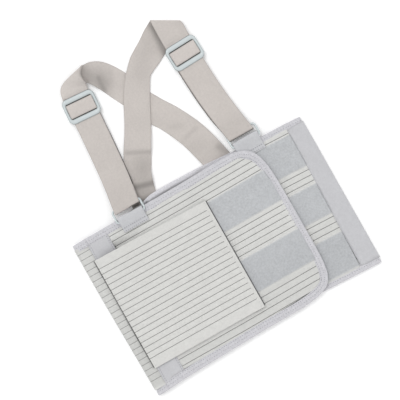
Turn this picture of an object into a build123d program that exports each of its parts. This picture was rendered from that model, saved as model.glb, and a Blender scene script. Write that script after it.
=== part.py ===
"""Lumbar support belt with shoulder straps, folded flat.

X runs along the belt, Y from its lower edge to the shoulder straps and Z up through the layers.
The origin is the middle of the back panel's outer face, on which the folded belt lies.
All sizes are in millimetres.
"""
from build123d import *
from math import cos, radians, sin
import os

os.makedirs("parts", exist_ok=True)

# ---- driving dimensions -------------------------------------------------------------------

FOLD_LEFT_X = -162.5            # outside of the elastic side
FOLD_RIGHT_X = 171.0            # outside of the plain side
LEFT_SEAM_X = -143.0            # where the elastic side is sewn to the panels
STRIP_SEAM_X = -116.0           # other edge of the plain seam strip on the left front
RIGHT_SEAM_X = 147.0            # where the plain side is sewn to the right front
BINDING_W = 10.5                # folded tape round every edge
CLEAR = 0.3                     # air between bodies

FABRIC_T = 1.2                  # elastic and lining fabric
SHELL_Z = 0.0                   # underside of each layer, from the rest face up
POCKET_Z = 1.2
STAY_Z = 1.6
LINING_Z = 3.2
LINING_T = 0.8
RIGHT_BINDING_Z = 4.4
RIGHT_PANEL_Z = 4.9
RIGHT_PLUSH_Z = RIGHT_PANEL_Z + FABRIC_T
RIGHT_PLUSH_T = 1.0
BINDING_T = 2.2
HOOK_Z = 7.4
HOOK_T = 0.6
LEFT_BINDING_Z = 7.5
LEFT_BINDING_T = 2.3
LEFT_PANEL_Z = 8.0
LEFT_PANEL_T = 1.3
PLUSH_Z = LEFT_PANEL_Z + LEFT_PANEL_T
PLUSH_T = 0.9
BAND_HOOK_Z = 10.5
BAND_Z = 11.0
BAND_T = 1.6

BAND_X0, BAND_X1 = -146.0, 13.0     # sewn end and free end of the outer tension band
BAND_Y0, BAND_Y1 = -78.5, 76.0
FLAP_HINGE_X = 20.0                 # the closure flap peels back to this line

STAY_W, STAY_L, STAY_T = 8.0, 176.0, 1.2
STAY_Y = 5.0                    # middle of the stays
STAY_XS = (-75.0, -25.0, 25.0, 75.0)

STRAP_W = 35.0                  # webbing of the shoulder straps
STRAP_T = 1.2
STRAP_LOW_Z = 0.0               # webbing that lies on the table
STRAP_OVER_Z = 1.5              # webbing that crosses over another strap
RETURN_Z = 1.5                  # doubled layer under each front run
RETURN_T = 1.1
FRONT_Z = 4.4                   # front runs, which pass through the sliders

RING_W, RING_H, RING_WIRE = 42.0, 19.5, 2.8
RING_REACH = RING_H - RING_WIRE     # between the centres of a ring's two long bars
LOOP_HOLE_R = 1.7                   # room for the ring wire inside folded webbing
LOOP_T = 0.8
LEFT_BAR = (-77.5, 103.0, 12.3)     # centre of the ring bar that the tab holds
RIGHT_BAR = (95.5, 114.4, 9.1)
LEFT_RING_TILT, RIGHT_RING_TILT = -10.0, -12.0
RING_LOOP_REACH = 23.0              # from a ring's tab bar to the end of the strap's turn
LEFT_RUN_Y, RIGHT_RUN_Y = 127.0, 138.2  # the straps go on from there, clear of the tilting turns
LEVEL_Y = 164.0                     # from here up the front runs are level

SLIDER_W, SLIDER_H = 44.0, 34.0
SLIDER_WINDOW_W, SLIDER_WINDOW_H = 36.0, 19.0
SLIDER_Z0, SLIDER_Z1 = 1.5, 7.7
SLIDER_TOP_Z = FRONT_Z + STRAP_T + CLEAR
SLIDER_BAR_H, SLIDER_BAR_T = 4.4, 1.4
LEFT_SLIDER, LEFT_LEAN = (-64.9, 255.0), -3.9      # centre, and lean of the strap in degrees
RIGHT_SLIDER, RIGHT_LEAN = (82.7, 250.0), 2.5
SLIDE_DOWN = 40.0                                  # travel of a slider towards its ring

# plan outlines of the three panels, bindings included, running past the folds
BACK_TOP = [(-200, 101), (-110, 108.5), (-50, 114.5), (-10, 116.5), (35, 115), (90, 110.5), (200, 107.5)]
BACK_BOTTOM = [(200, -103), (84, -99.5), (0, -102.5), (-80, -105.5), (-200, -112)]
LEFT_FRONT = [(-200, 107), (0, 108.7), (106.5, 110.5), (106, -96.5), (0, -104.5), (-80, -107), (-200, -113.5)]
FLAP_CORNERS = (29.0, 22.0)
RIGHT_FRONT = [(210, 108), (112, 110.5), (-73, 108), (-73, -98), (85, -99.5), (210, -104.5)]
RIGHT_CORNERS = (20.0, 20.0)
FOLD_TOP_Y, FOLD_BOTTOM_Y = 107.0, -111.5          # corners of the folded sides
FOLD_TOP_R_Y, FOLD_BOTTOM_R_Y = 108.5, -103.0

# centre lines of the straps in plan
LEFT_FRONT_RUN = [(-76.9, 118.0), (-69.0, 195.0), (-63.3, 278.5)]
LEFT_REAR_RUN = [(-22.0, 278.0), (30, 178), (46, 137), (53.2, 96)]
RIGHT_FRONT_RUN = [(93.4, 128.0), (85.6, 185.0), (81.6, 276.0)]
RIGHT_REAR_RUN = [(58.0, 282.8), (19, 256.5), (-24, 184), (-46, 137), (-55.5, 96)]
CROSSING_Y = 229.0                                 # below this the right strap comes down again
STRAP_END_Y = 99.7                                 # the straps are sewn on here, against the outer shell


# ---- outlines -----------------------------------------------------------------------------

def closed_face(points, corners=None):
    """Face inside a closed outline; corners gives the rounding at each point."""
    with BuildSketch() as face:
        with BuildLine():
            if corners:
                FilletPolyline(*points, radius=corners, close=True)
            else:
                Polyline(*points, close=True)
        make_face()
    return face.sketch


def box_face(x0, x1, y0, y1):
    """Rectangle between two X and two Y values."""
    with BuildSketch() as face:
        with Locations(((x0 + x1) / 2, (y0 + y1) / 2)):
            Rectangle(x1 - x0, y1 - y0)
    return face.sketch


def inset(face, distance):
    """The same outline, moved inwards by the width of the binding."""
    with BuildSketch() as smaller:
        add(face)
        offset(amount=-distance, kind=Kind.INTERSECTION, mode=Mode.REPLACE)
    return smaller.sketch


def within(face, x0, x1, y0=-200.0, y1=350.0):
    """The stretch of a face between two X and two Y values."""
    with BuildSketch() as cut:
        add(face)
        add(box_face(x0, x1, y0, y1), mode=Mode.INTERSECT)
    return cut.sketch


def slab(label, face, z, thickness):
    """One flat layer of fabric, written as its own file."""
    with BuildPart() as layer:
        with BuildSketch(Plane.XY.offset(z)):
            add(face)
        extrude(amount=thickness)
    finish(layer, label)


def finish(piece, label):
    """Name a finished piece and write it."""
    piece.part.label = label
    export_step(piece.part, f"parts/{label}.step")


back_outline = closed_face(BACK_TOP + BACK_BOTTOM)
back_field = inset(back_outline, BINDING_W)
left_outline = closed_face(LEFT_FRONT, (0, 0, *FLAP_CORNERS, 0, 0, 0))
left_field = inset(left_outline, BINDING_W)
right_outline = closed_face(RIGHT_FRONT, (0, 0, *RIGHT_CORNERS, 0, 0))
right_field = inset(right_outline, BINDING_W)


def rim(outline, field):
    """The strip that the binding covers, between an outline and the field inside it."""
    with BuildSketch() as strip:
        add(outline)
        add(field, mode=Mode.SUBTRACT)
    return strip.sketch


back_rim = rim(back_outline, back_field)
left_rim = rim(left_outline, left_field)
right_rim = rim(right_outline, right_field)


# ---- back panel: outer shell, stays in their pockets, lining, bindings --------------------

slab("back_outer_shell", within(back_field, LEFT_SEAM_X, RIGHT_SEAM_X, -200.0, STRAP_END_Y), SHELL_Z, FABRIC_T)
slab("back_inner_lining", within(back_field, LEFT_SEAM_X, RIGHT_SEAM_X), LINING_Z, LINING_T)
slab("back_top_binding", within(back_rim, LEFT_SEAM_X, RIGHT_SEAM_X, 0.0), 1.5, 2.6)
slab("back_bottom_binding", within(back_rim, LEFT_SEAM_X, RIGHT_SEAM_X, -200.0, 0.0), 0.0, 4.1)

for number, stay_x in enumerate(STAY_XS, start=1):
    with BuildPart() as stay:
        with BuildSketch(Plane.XY.offset(STAY_Z)):
            with Locations((stay_x, STAY_Y)):
                SlotOverall(STAY_L, STAY_W, rotation=90)
        extrude(amount=STAY_T)
    finish(stay, f"back_stay_{number}")

with BuildPart() as stay_pockets:
    with BuildSketch(Plane.XY.offset(POCKET_Z)):
        with Locations(*[(stay_x, STAY_Y) for stay_x in STAY_XS]):
            Rectangle(STAY_W + 8, STAY_L + 8)
    extrude(amount=LINING_Z - POCKET_Z)
    with BuildSketch(Plane.XY.offset(POCKET_Z + 0.3)):
        with Locations(*[(stay_x, STAY_Y) for stay_x in STAY_XS]):
            Rectangle(STAY_W + 1, STAY_L + 1)
    extrude(amount=LINING_Z - POCKET_Z - 0.6, mode=Mode.SUBTRACT)
finish(stay_pockets, "back_stay_pockets")


# ---- folded sides -------------------------------------------------------------------------

def side_fold(label, x_fold, x_seam, top_z, thickness, y0, y1):
    """Fabric that comes round from the back panel to a front panel, in a U seen from below."""
    side = 1 if x_fold > x_seam else -1
    radius = top_z / 2
    with BuildPart() as fold:
        with BuildSketch(Plane.XZ.offset(-y1)):
            with BuildLine():
                outer_low = Line((x_seam, 0), (x_fold - side * radius, 0))
                outer_turn = ThreePointArc(outer_low @ 1, (x_fold, radius), (x_fold - side * radius, top_z))
                outer_high = Line(outer_turn @ 1, (x_seam, top_z))
                step_in = Line(outer_high @ 1, (x_seam, top_z - thickness))
                inner_high = Line(step_in @ 1, (x_fold - side * radius, top_z - thickness))
                inner_turn = ThreePointArc(inner_high @ 1, (x_fold - side * thickness, radius),
                                           (x_fold - side * radius, thickness))
                inner_low = Line(inner_turn @ 1, (x_seam, thickness))
                Line(inner_low @ 1, outer_low @ 0)
            make_face()
        extrude(amount=y1 - y0)
    finish(fold, label)


LEFT_TOP_Z = LEFT_PANEL_Z + LEFT_PANEL_T
RIGHT_TOP_Z = RIGHT_PANEL_Z + FABRIC_T
for label, x_fold, x_seam, top_z, y_low, y_high in (
    ("left_side", FOLD_LEFT_X, LEFT_SEAM_X, LEFT_TOP_Z, FOLD_BOTTOM_Y, FOLD_TOP_Y),
    ("right_side", FOLD_RIGHT_X, RIGHT_SEAM_X, RIGHT_TOP_Z, FOLD_BOTTOM_R_Y, FOLD_TOP_R_Y),
):
    side_fold(f"{label}_fold", x_fold, x_seam, top_z, FABRIC_T, y_low + BINDING_W, y_high - BINDING_W)
    side_fold(f"{label}_top_binding", x_fold, x_seam, top_z, 2.0, y_high - BINDING_W, y_high)
    side_fold(f"{label}_bottom_binding", x_fold, x_seam, top_z, 2.0, y_low, y_low + BINDING_W)


# ---- right front panel, which lies under the flap -----------------------------------------

slab("right_front_panel", within(right_field, -100, RIGHT_SEAM_X), RIGHT_PANEL_Z, FABRIC_T)
slab("right_front_top_binding", within(right_rim, -52, RIGHT_SEAM_X, 0.0), RIGHT_BINDING_Z, BINDING_T)
slab("right_front_bottom_binding", within(right_rim, -52, RIGHT_SEAM_X, -200.0, 0.0), RIGHT_BINDING_Z, BINDING_T)
slab("right_front_end_binding", within(right_rim, -100, -52), RIGHT_BINDING_Z, BINDING_T)
for name, plush_y0, plush_y1 in (("upper", 51, 95), ("middle", -17, 27), ("lower", -87, -44)):
    slab(f"right_plush_{name}", box_face(-50, 145, plush_y0, plush_y1), RIGHT_PLUSH_Z, RIGHT_PLUSH_T)


# ---- left front panel: seam strip, ribbed elastic, landing plush for the band -------------

PLUSH_BANDS = (("upper", 28, 71), ("lower", -59, -14))
LANDING_X0 = -40.0              # the plush starts here, under the free end of the band
slab("left_seam_strip", within(left_field, LEFT_SEAM_X, STRIP_SEAM_X), LEFT_PANEL_Z, LEFT_PANEL_T)
slab("left_front_panel", within(left_field, STRIP_SEAM_X, FLAP_HINGE_X), LEFT_PANEL_Z, LEFT_PANEL_T)
slab("left_front_top_binding", within(left_rim, LEFT_SEAM_X, FLAP_HINGE_X, 0.0), LEFT_BINDING_Z, LEFT_BINDING_T)
slab("left_front_bottom_binding", within(left_rim, LEFT_SEAM_X, FLAP_HINGE_X, -200.0, 0.0),
     LEFT_BINDING_Z, LEFT_BINDING_T)
for name, plush_y0, plush_y1 in PLUSH_BANDS:
    slab(f"landing_plush_{name}", box_face(LANDING_X0, FLAP_HINGE_X, plush_y0, plush_y1), PLUSH_Z, PLUSH_T)


# ---- closure flap: the end of the left front, which peels up ------------------------------

FLAP_X0 = FLAP_HINGE_X + CLEAR
slab("flap_panel", within(left_field, FLAP_X0, 150), LEFT_PANEL_Z, LEFT_PANEL_T)
slab("flap_binding", within(left_rim, FLAP_X0, 150), LEFT_BINDING_Z, LEFT_BINDING_T)
for name, plush_y0, plush_y1 in PLUSH_BANDS:
    slab(f"flap_plush_{name}", box_face(FLAP_X0, 94, plush_y0, plush_y1), PLUSH_Z, PLUSH_T)
slab("flap_hook_patch", box_face(30, 90, -82, 82), HOOK_Z, HOOK_T)


# ---- tension band -------------------------------------------------------------------------

slab("tension_band", box_face(BAND_X0, BAND_X1, BAND_Y0, BAND_Y1), BAND_Z, BAND_T)
slab("band_hook_patch", box_face(-34, 9, BAND_Y0 + 4, BAND_Y1 - 4), BAND_HOOK_Z, BAND_Z - BAND_HOOK_Z)
slab("band_root_tape", box_face(BAND_X0, BAND_X0 + 6, BAND_Y0, BAND_Y1), PLUSH_Z, 1.4)


# ---- ring tabs: folded webbing sewn to the panels, open round the ring bar ----------------

def ring_tab(label, bar, base_y, fold_y, base_z, base_t):
    """Tab in side view: a flat sewn base that opens into a loop round the ring bar."""
    high = bar[2] + LOOP_HOLE_R + LOOP_T
    low = bar[2] - LOOP_HOLE_R
    turn = fold_y - LOOP_HOLE_R - LOOP_T
    mouth = bar[1] - 4.2
    with BuildPart() as tab:
        with BuildSketch(Plane.YZ.offset(bar[0] - STRAP_W / 2)):
            with BuildLine():
                Polyline((turn, base_z), (base_y, base_z), (base_y, base_z + base_t),
                         (mouth, base_z + base_t), (mouth + 2.2, high), (turn, high))
                ThreePointArc((turn, high), (fold_y, (high + base_z) / 2), (turn, base_z))
            make_face()
            with BuildLine():
                Polyline((turn, low), (mouth + 1.0, low), (mouth + 3.2, high - LOOP_T), (turn, high - LOOP_T))
                ThreePointArc((turn, high - LOOP_T), (fold_y - LOOP_T, bar[2]), (turn, low))
            make_face(mode=Mode.SUBTRACT)
        extrude(amount=STRAP_W)
    finish(tab, label)


ring_tab("left_ring_tab", LEFT_BAR, 89.0, 110.2, LEFT_BINDING_Z + LEFT_BINDING_T, 0.7)
ring_tab("right_ring_tab", RIGHT_BAR, 96.0, 121.0, RIGHT_BINDING_Z + BINDING_T, 0.6)


# ---- rectangular rings and the turns of webbing round them --------------------------------

def ring(label, bar, tilt):
    """Closed wire ring whose lower bar lies in the tab and which slopes down away from it."""
    plane = Plane(bar, x_dir=(1, 0, 0), z_dir=(0, -sin(radians(tilt)), cos(radians(tilt))))
    half = (RING_W - RING_WIRE) / 2
    with BuildPart() as wire_ring:
        with BuildLine(plane) as path:
            FilletPolyline((half, 0), (half, RING_REACH), (-half, RING_REACH), (-half, 0),
                           radius=3.0, close=True)
        wire = path.wire()
        with BuildSketch(Plane(origin=wire @ 0, z_dir=wire % 0)):
            Circle(RING_WIRE / 2)
        sweep(path=wire)
    finish(wire_ring, label)


def ring_loop(label, bar, tilt, fold_distance):
    """End of the shoulder strap, turned round the ring's upper bar and sewn back on itself."""
    plane = Plane((bar[0] - STRAP_W / 2, bar[1], bar[2]),
                  x_dir=(0, cos(radians(tilt)), sin(radians(tilt))), z_dir=(1, 0, 0))
    outer = LOOP_HOLE_R + LOOP_T
    start = fold_distance + outer
    with BuildPart() as turn:
        with BuildSketch(plane):
            with BuildLine():
                Polyline((start, -outer), (RING_LOOP_REACH, -outer), (RING_LOOP_REACH, outer), (start, outer))
                ThreePointArc((start, outer), (fold_distance, 0), (start, -outer))
            make_face()
            with BuildLine():
                Polyline((start, LOOP_HOLE_R), (RING_LOOP_REACH, LOOP_HOLE_R),
                         (RING_LOOP_REACH, -LOOP_HOLE_R), (start, -LOOP_HOLE_R))
                ThreePointArc((start, -LOOP_HOLE_R), (fold_distance + LOOP_T, 0), (start, LOOP_HOLE_R))
            make_face(mode=Mode.SUBTRACT)
        extrude(amount=STRAP_W)
    finish(turn, label)


ring("left_ring", LEFT_BAR, LEFT_RING_TILT)
ring("right_ring", RIGHT_BAR, RIGHT_RING_TILT)
ring_loop("left_strap_ring_turn", LEFT_BAR, LEFT_RING_TILT, 11.2)
ring_loop("right_strap_ring_turn", RIGHT_BAR, RIGHT_RING_TILT, 9.3)


# ---- shoulder straps ----------------------------------------------------------------------

def ribbon(run, bend=40.0):
    """Plan of a strap of even width along a centre line."""
    with BuildSketch() as plan:
        with BuildLine():
            FilletPolyline(*run, radius=bend)
        trace(line_width=STRAP_W)
    return plan.sketch


def strap(label, plan, side_plane, side_points, thickness):
    """Webbing with the given plan, at the height that its side profile gives."""
    upper = [(along, z + thickness) for along, z in reversed(side_points)]
    with BuildPart() as webbing:
        with BuildSketch():
            add(plan)
        extrude(amount=20)
        with BuildSketch(side_plane):
            with BuildLine():
                Polyline(*side_points, *upper, close=True)
            make_face()
        extrude(amount=400, both=True, mode=Mode.INTERSECT)
    finish(webbing, label)


def loop_heights(bar, tilt):
    """Undersides of the upper and lower webbing where a ring turn ends."""
    middle = bar[2] + RING_LOOP_REACH * sin(radians(tilt))
    return middle + LOOP_HOLE_R - 0.3, middle - LOOP_HOLE_R - LOOP_T


left_upper, left_lower = loop_heights(LEFT_BAR, LEFT_RING_TILT)
right_upper, right_lower = loop_heights(RIGHT_BAR, RIGHT_RING_TILT)
LEFT_RETURN_TOP = LEFT_SLIDER[1] - SLIDE_DOWN - 3.5
RIGHT_RETURN_TOP = RIGHT_SLIDER[1] - SLIDE_DOWN - 3.5
left_front_plan = within(ribbon(LEFT_FRONT_RUN, 200.0), -200, 200, LEFT_RUN_Y)
right_front_plan = within(ribbon(RIGHT_FRONT_RUN, 200.0), -200, 200, RIGHT_RUN_Y)

strap("left_strap_front", left_front_plan, Plane.YZ,
      [(LEFT_RUN_Y, left_upper), (LEVEL_Y, FRONT_Z), (300, FRONT_Z)], STRAP_T)
strap("left_strap_return", within(left_front_plan, -200, 200, 0, LEFT_RETURN_TOP), Plane.YZ,
      [(LEFT_RUN_Y, left_lower), (LEVEL_Y, RETURN_Z), (300, RETURN_Z)], RETURN_T)
strap("right_strap_front", right_front_plan, Plane.YZ,
      [(RIGHT_RUN_Y, right_upper), (LEVEL_Y, FRONT_Z), (300, FRONT_Z)], STRAP_T)
strap("right_strap_return", within(right_front_plan, -200, 200, 0, RIGHT_RETURN_TOP), Plane.YZ,
      [(RIGHT_RUN_Y, right_lower), (LEVEL_Y, RETURN_Z), (300, RETURN_Z)], RETURN_T)

strap("left_strap_rear", within(ribbon(LEFT_REAR_RUN), -200, 200, STRAP_END_Y), Plane.YZ,
      [(90, STRAP_LOW_Z), (310, STRAP_LOW_Z)], STRAP_T)
right_rear_plan = ribbon(RIGHT_REAR_RUN)
strap("right_strap_rear_upper", within(right_rear_plan, -200, 200, CROSSING_Y, 350), Plane.XZ,
      [(-60, STRAP_OVER_Z), (26, STRAP_OVER_Z), (44, STRAP_LOW_Z), (100, STRAP_LOW_Z)], STRAP_T)
strap("right_strap_rear_lower", within(right_rear_plan, -200, 200, STRAP_END_Y, CROSSING_Y), Plane.YZ,
      [(90, STRAP_LOW_Z), (150, STRAP_LOW_Z), (186, STRAP_OVER_Z), (240, STRAP_OVER_Z)], STRAP_T)

# left shoulder: the strap rolls over to the right and comes down to the table
LEFT_TURN = [(-80.9, 279.9), (-79.5, 285), (-73, 292), (-50, 297), (-36, 300.6), (-28, 300), (-15, 293),
             (-6.5, 286.2), (-37.4, 270.1), (-41.5, 276.5), (-45.7, 277.6)]
strap("left_strap_shoulder", closed_face(LEFT_TURN), Plane.XZ,
      [(-100, FRONT_Z), (-50, FRONT_Z), (-28, STRAP_LOW_Z), (0, STRAP_LOW_Z)], STRAP_T)

# right shoulder: a flat fold, the upper layer joined to the lower along a slanting crease
FOLD_A, FOLD_B = (64.5, 308.0), (98.0, 289.0)
with BuildPart() as right_shoulder:
    with BuildSketch(Plane.XY.offset(FRONT_Z)):
        add(closed_face([(64.2, 275.4), (99.1, 276.9), FOLD_B, FOLD_A]))
    extrude(amount=STRAP_T)
    with BuildSketch():
        add(closed_face([FOLD_A, FOLD_B, (67.9, 268.5), (48.2, 297.4)]))
    extrude(amount=STRAP_T)
    with BuildSketch():
        add(closed_face([FOLD_A, FOLD_B, (FOLD_B[0] - 1, FOLD_B[1] - 1.2), (FOLD_A[0] + 0.2, FOLD_A[1] - 1.6)]))
    extrude(amount=FRONT_Z + STRAP_T)
finish(right_shoulder, "right_strap_shoulder")

# rows of stitching that hold the two straps together where they cross
STITCH_BOX = [(4.5, 260), (-15.5, 231), (1.5, 199), (20.5, 231)]
with BuildPart() as stitching:
    with BuildSketch(Plane.XY.offset(STRAP_OVER_Z + STRAP_T)):
        add(inset(closed_face(STITCH_BOX), 2.0))
        add(inset(closed_face(STITCH_BOX), 3.0), mode=Mode.SUBTRACT)
    extrude(amount=0.3)
finish(stitching, "crossing_stitching")


# ---- sliders ------------------------------------------------------------------------------

def slider(label, centre, lean):
    """Three-bar slider: two broad bars over the strap, and a middle bar under it."""
    place = Plane((centre[0], centre[1], 0), x_dir=(cos(radians(lean)), sin(radians(lean)), 0))
    with BuildPart() as frame:
        with BuildSketch(place.offset(SLIDER_TOP_Z)):
            RectangleRounded(SLIDER_W, SLIDER_H, 4)
            Rectangle(SLIDER_WINDOW_W, SLIDER_WINDOW_H, mode=Mode.SUBTRACT)
        extrude(amount=SLIDER_Z1 - SLIDER_TOP_Z)
        with BuildSketch(place.offset(SLIDER_Z0)):
            RectangleRounded(SLIDER_W, SLIDER_H, 4)
            Rectangle(SLIDER_WINDOW_W, SLIDER_H, mode=Mode.SUBTRACT)
        extrude(amount=SLIDER_TOP_Z - SLIDER_Z0)
        with BuildSketch(place.offset(SLIDER_Z0)):
            Rectangle(SLIDER_WINDOW_W, SLIDER_BAR_H)
        extrude(amount=SLIDER_BAR_T)
    finish(frame, label)


def slider_turn(label, centre, lean):
    """Webbing end sewn round the slider's middle bar, with its long upper leg under the strap."""
    direction = (-sin(radians(lean)), cos(radians(lean)), 0)
    across = (cos(radians(lean)), sin(radians(lean)), 0)
    start = [centre[i] - across[i] * STRAP_W / 2 for i in (0, 1)]
    top, tail, leg = 4.1, 1.0, 48.0
    bend = SLIDER_BAR_H / 2 + CLEAR
    with BuildPart() as turn:
        with BuildSketch(Plane((start[0], start[1], 0), x_dir=direction, z_dir=across)):
            with BuildLine():
                Polyline((bend, 0), (-14, 0), (-14, tail), (bend, tail))
                ThreePointArc((bend, tail), (bend + top / 2 - tail, top / 2), (bend, top - tail))
                Polyline((bend, top - tail), (-leg, top - tail), (-leg, top), (bend, top))
                ThreePointArc((bend, top), (bend + top / 2, top / 2), (bend, 0))
            make_face()
        extrude(amount=STRAP_W)
    finish(turn, label)


slider("left_slider_frame", LEFT_SLIDER, LEFT_LEAN)
slider("right_slider_frame", RIGHT_SLIDER, RIGHT_LEAN)
slider_turn("left_slider_strap_turn", LEFT_SLIDER, LEFT_LEAN)
slider_turn("right_slider_strap_turn", RIGHT_SLIDER, RIGHT_LEAN)
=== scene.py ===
import bpy
import bmesh
from math import sin, cos, pi, radians, exp
from mathutils import Matrix, Vector, noise


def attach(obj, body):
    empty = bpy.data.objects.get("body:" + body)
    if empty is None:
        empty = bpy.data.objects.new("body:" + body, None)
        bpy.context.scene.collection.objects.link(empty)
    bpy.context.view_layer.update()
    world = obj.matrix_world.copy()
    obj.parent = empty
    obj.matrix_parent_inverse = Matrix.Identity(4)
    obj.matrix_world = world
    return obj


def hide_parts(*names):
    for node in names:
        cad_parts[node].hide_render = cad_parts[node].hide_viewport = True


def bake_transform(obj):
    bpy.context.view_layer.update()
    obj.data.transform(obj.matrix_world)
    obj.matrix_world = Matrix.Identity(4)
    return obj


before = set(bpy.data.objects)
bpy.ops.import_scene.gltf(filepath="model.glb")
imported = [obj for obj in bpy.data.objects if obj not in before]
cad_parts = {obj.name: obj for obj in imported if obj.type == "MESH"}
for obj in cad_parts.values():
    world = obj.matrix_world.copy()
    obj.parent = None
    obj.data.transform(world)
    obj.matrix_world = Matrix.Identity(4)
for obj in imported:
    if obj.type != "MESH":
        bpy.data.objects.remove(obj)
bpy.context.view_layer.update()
MM = 0.001


# ---- Studio -------------------------------------------------------------------------------
# A pale table top, an even pale room and one broad lamp. The camera hangs over the belt, turned so
# that the belt lies slanting across the frame.

VIEW_CENTRE = Vector((7.8, 78.6, 8.0)) * MM
CAMERA_HEIGHT = 1.5
BELT_SLANT = radians(29.5)
FIELD_WIDTH = 0.5056            # metres across the frame at the belt
SENSOR = 36.0

camera_data = bpy.data.cameras.new("camera")
camera_data.sensor_width = SENSOR
camera_data.lens = SENSOR * CAMERA_HEIGHT / FIELD_WIDTH
camera = bpy.data.objects.new("camera", camera_data)
camera.location = VIEW_CENTRE + Vector((0, 0, CAMERA_HEIGHT))
camera.rotation_euler = (0, 0, -BELT_SLANT)
bpy.context.scene.collection.objects.link(camera)
bpy.context.scene.camera = camera
bpy.context.scene.view_settings.view_transform = "Standard"

LAMP_STRENGTH = 0.75
LAMP_SPREAD = radians(24)
LAMP_DIRECTION = (0.20, -0.42, -0.88)
lamp_data = bpy.data.lights.new("window", "SUN")
lamp_data.energy = LAMP_STRENGTH
lamp_data.angle = LAMP_SPREAD
lamp = bpy.data.objects.new("window", lamp_data)
lamp.rotation_euler = Vector(LAMP_DIRECTION).to_track_quat("-Z", "Y").to_euler()
bpy.context.scene.collection.objects.link(lamp)

ROOM_LIGHT = 0.87               # strength of the room on cloth; seen directly or mirrored, the room is white
world = bpy.data.worlds.new("room")
bpy.context.scene.world = world
world.use_nodes = True
tree = world.node_tree
room = tree.nodes["Background"]
room.inputs["Color"].default_value = (1, 1, 1, 1)
ray = tree.nodes.new("ShaderNodeLightPath")
mirrored = tree.nodes.new("ShaderNodeMath")
mirrored.operation = "MAXIMUM"
tree.links.new(ray.outputs["Is Glossy Ray"], mirrored.inputs[0])
tree.links.new(ray.outputs["Is Transmission Ray"], mirrored.inputs[1])
seen = tree.nodes.new("ShaderNodeMath")
seen.operation = "MAXIMUM"
tree.links.new(ray.outputs["Is Camera Ray"], seen.inputs[0])
tree.links.new(mirrored.outputs[0], seen.inputs[1])
level = tree.nodes.new("ShaderNodeMapRange")
level.inputs["To Min"].default_value = ROOM_LIGHT
level.inputs["To Max"].default_value = 1.0
tree.links.new(seen.outputs[0], level.inputs["Value"])
tree.links.new(level.outputs[0], room.inputs["Strength"])

FLOOR_SIZE = 6.0
FLOOR_GAP = 0.0002              # the table top lies a hair under the cloth
FLOOR_GLOW = 0.10               # keeps the white table white where no shadow falls
floor_mesh = bmesh.new()
bmesh.ops.create_grid(floor_mesh, x_segments=2, y_segments=2, size=FLOOR_SIZE / 2)
bmesh.ops.translate(floor_mesh, verts=floor_mesh.verts, vec=(0, 0, -FLOOR_GAP))
floor_data = bpy.data.meshes.new("table_top")
floor_mesh.to_mesh(floor_data)
floor_mesh.free()
table_top = bpy.data.objects.new("table_top", floor_data)
bpy.context.scene.collection.objects.link(table_top)
white = bpy.data.materials.new("table_white")
white.use_nodes = True
tree = white.node_tree
surface = tree.nodes["Principled BSDF"]
surface.inputs["Base Color"].default_value = (0.96, 0.96, 0.96, 1)
surface.inputs["Roughness"].default_value = 0.9
surface.inputs["Specular IOR Level"].default_value = 0.0
ray = tree.nodes.new("ShaderNodeLightPath")
lift = tree.nodes.new("ShaderNodeMath")
lift.operation = "MULTIPLY"
lift.inputs[1].default_value = FLOOR_GLOW
tree.links.new(ray.outputs["Is Camera Ray"], lift.inputs[0])
surface.inputs["Emission Color"].default_value = (1, 1, 1, 1)
tree.links.new(lift.outputs[0], surface.inputs["Emission Strength"])
floor_data.materials.append(white)


# ---- Back panel: outer shell --------------------------------------------------------------
# Ribbed elastic cloth, the face that the folded belt rests on. Thin dark yarns run along it, and
# between them the cloth stands a little proud.

ROW_STEPS = (0.0, 0.04, 0.09, 0.16, 0.3, 0.5, 0.7, 0.84, 0.91, 0.96)
PLAIN_ROW = 1.6                 # spacing of rows where no rib line is near


def ease(t):
    """Smooth step from 0 to 1."""
    t = min(max(t, 0.0), 1.0)
    return t * t * (3 - 2 * t)


def sampled(keys, step):
    """Values from the first key to the last, each interval cut into steps of about the given size."""
    values = []
    for a, b in zip(keys, keys[1:]):
        count = max(1, round(abs(b - a) / step))
        values += [a + (b - a) * k / count for k in range(count)]
    return values + [keys[-1]]


def rib_rows(keys, ribs):
    """Rows of points across a ribbed cloth, close together beside each rib line."""
    rows = []
    for a, b in zip(keys, keys[1:]):
        if a in ribs or b in ribs:
            rows += [a + (b - a) * t for t in ROW_STEPS]
        else:
            rows += sampled([a, b], PLAIN_ROW)[:-1]
    return rows + [keys[-1]]


def shaped_grid(n_along, n_across, place, tube=False):
    """Quads whose points go where place(i, j) says: a position in mm and the cloth's own coordinates."""
    cloth = bmesh.new()
    pattern = cloth.verts.layers.float_vector.new("pattern")
    bmesh.ops.create_grid(cloth, x_segments=n_along, y_segments=n_across, size=0.5)
    for point in cloth.verts:
        i = round((point.co.x + 0.5) * n_along)
        j = round((point.co.y + 0.5) * n_across)
        spot, coordinates = place(i, j)
        point.co = Vector(spot) * MM
        point[pattern] = coordinates
    if tube:
        bmesh.ops.remove_doubles(cloth, verts=cloth.verts, dist=1e-7)
        rims = [edge for edge in cloth.edges if edge.is_boundary]
        bmesh.ops.holes_fill(cloth, edges=rims, sides=0)
        bmesh.ops.recalc_face_normals(cloth, faces=cloth.faces)
    return cloth


def trim(cloth, cuts):
    """Cut the cloth along straight lines in plan: each is a point on the line and the side that goes."""
    for (x, y), (away_x, away_y) in cuts:
        everything = list(cloth.verts) + list(cloth.edges) + list(cloth.faces)
        bmesh.ops.bisect_plane(cloth, geom=everything, dist=1e-7, plane_co=Vector((x, y, 0)) * MM,
                               plane_no=(away_x, away_y, 0), clear_outer=True)


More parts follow.
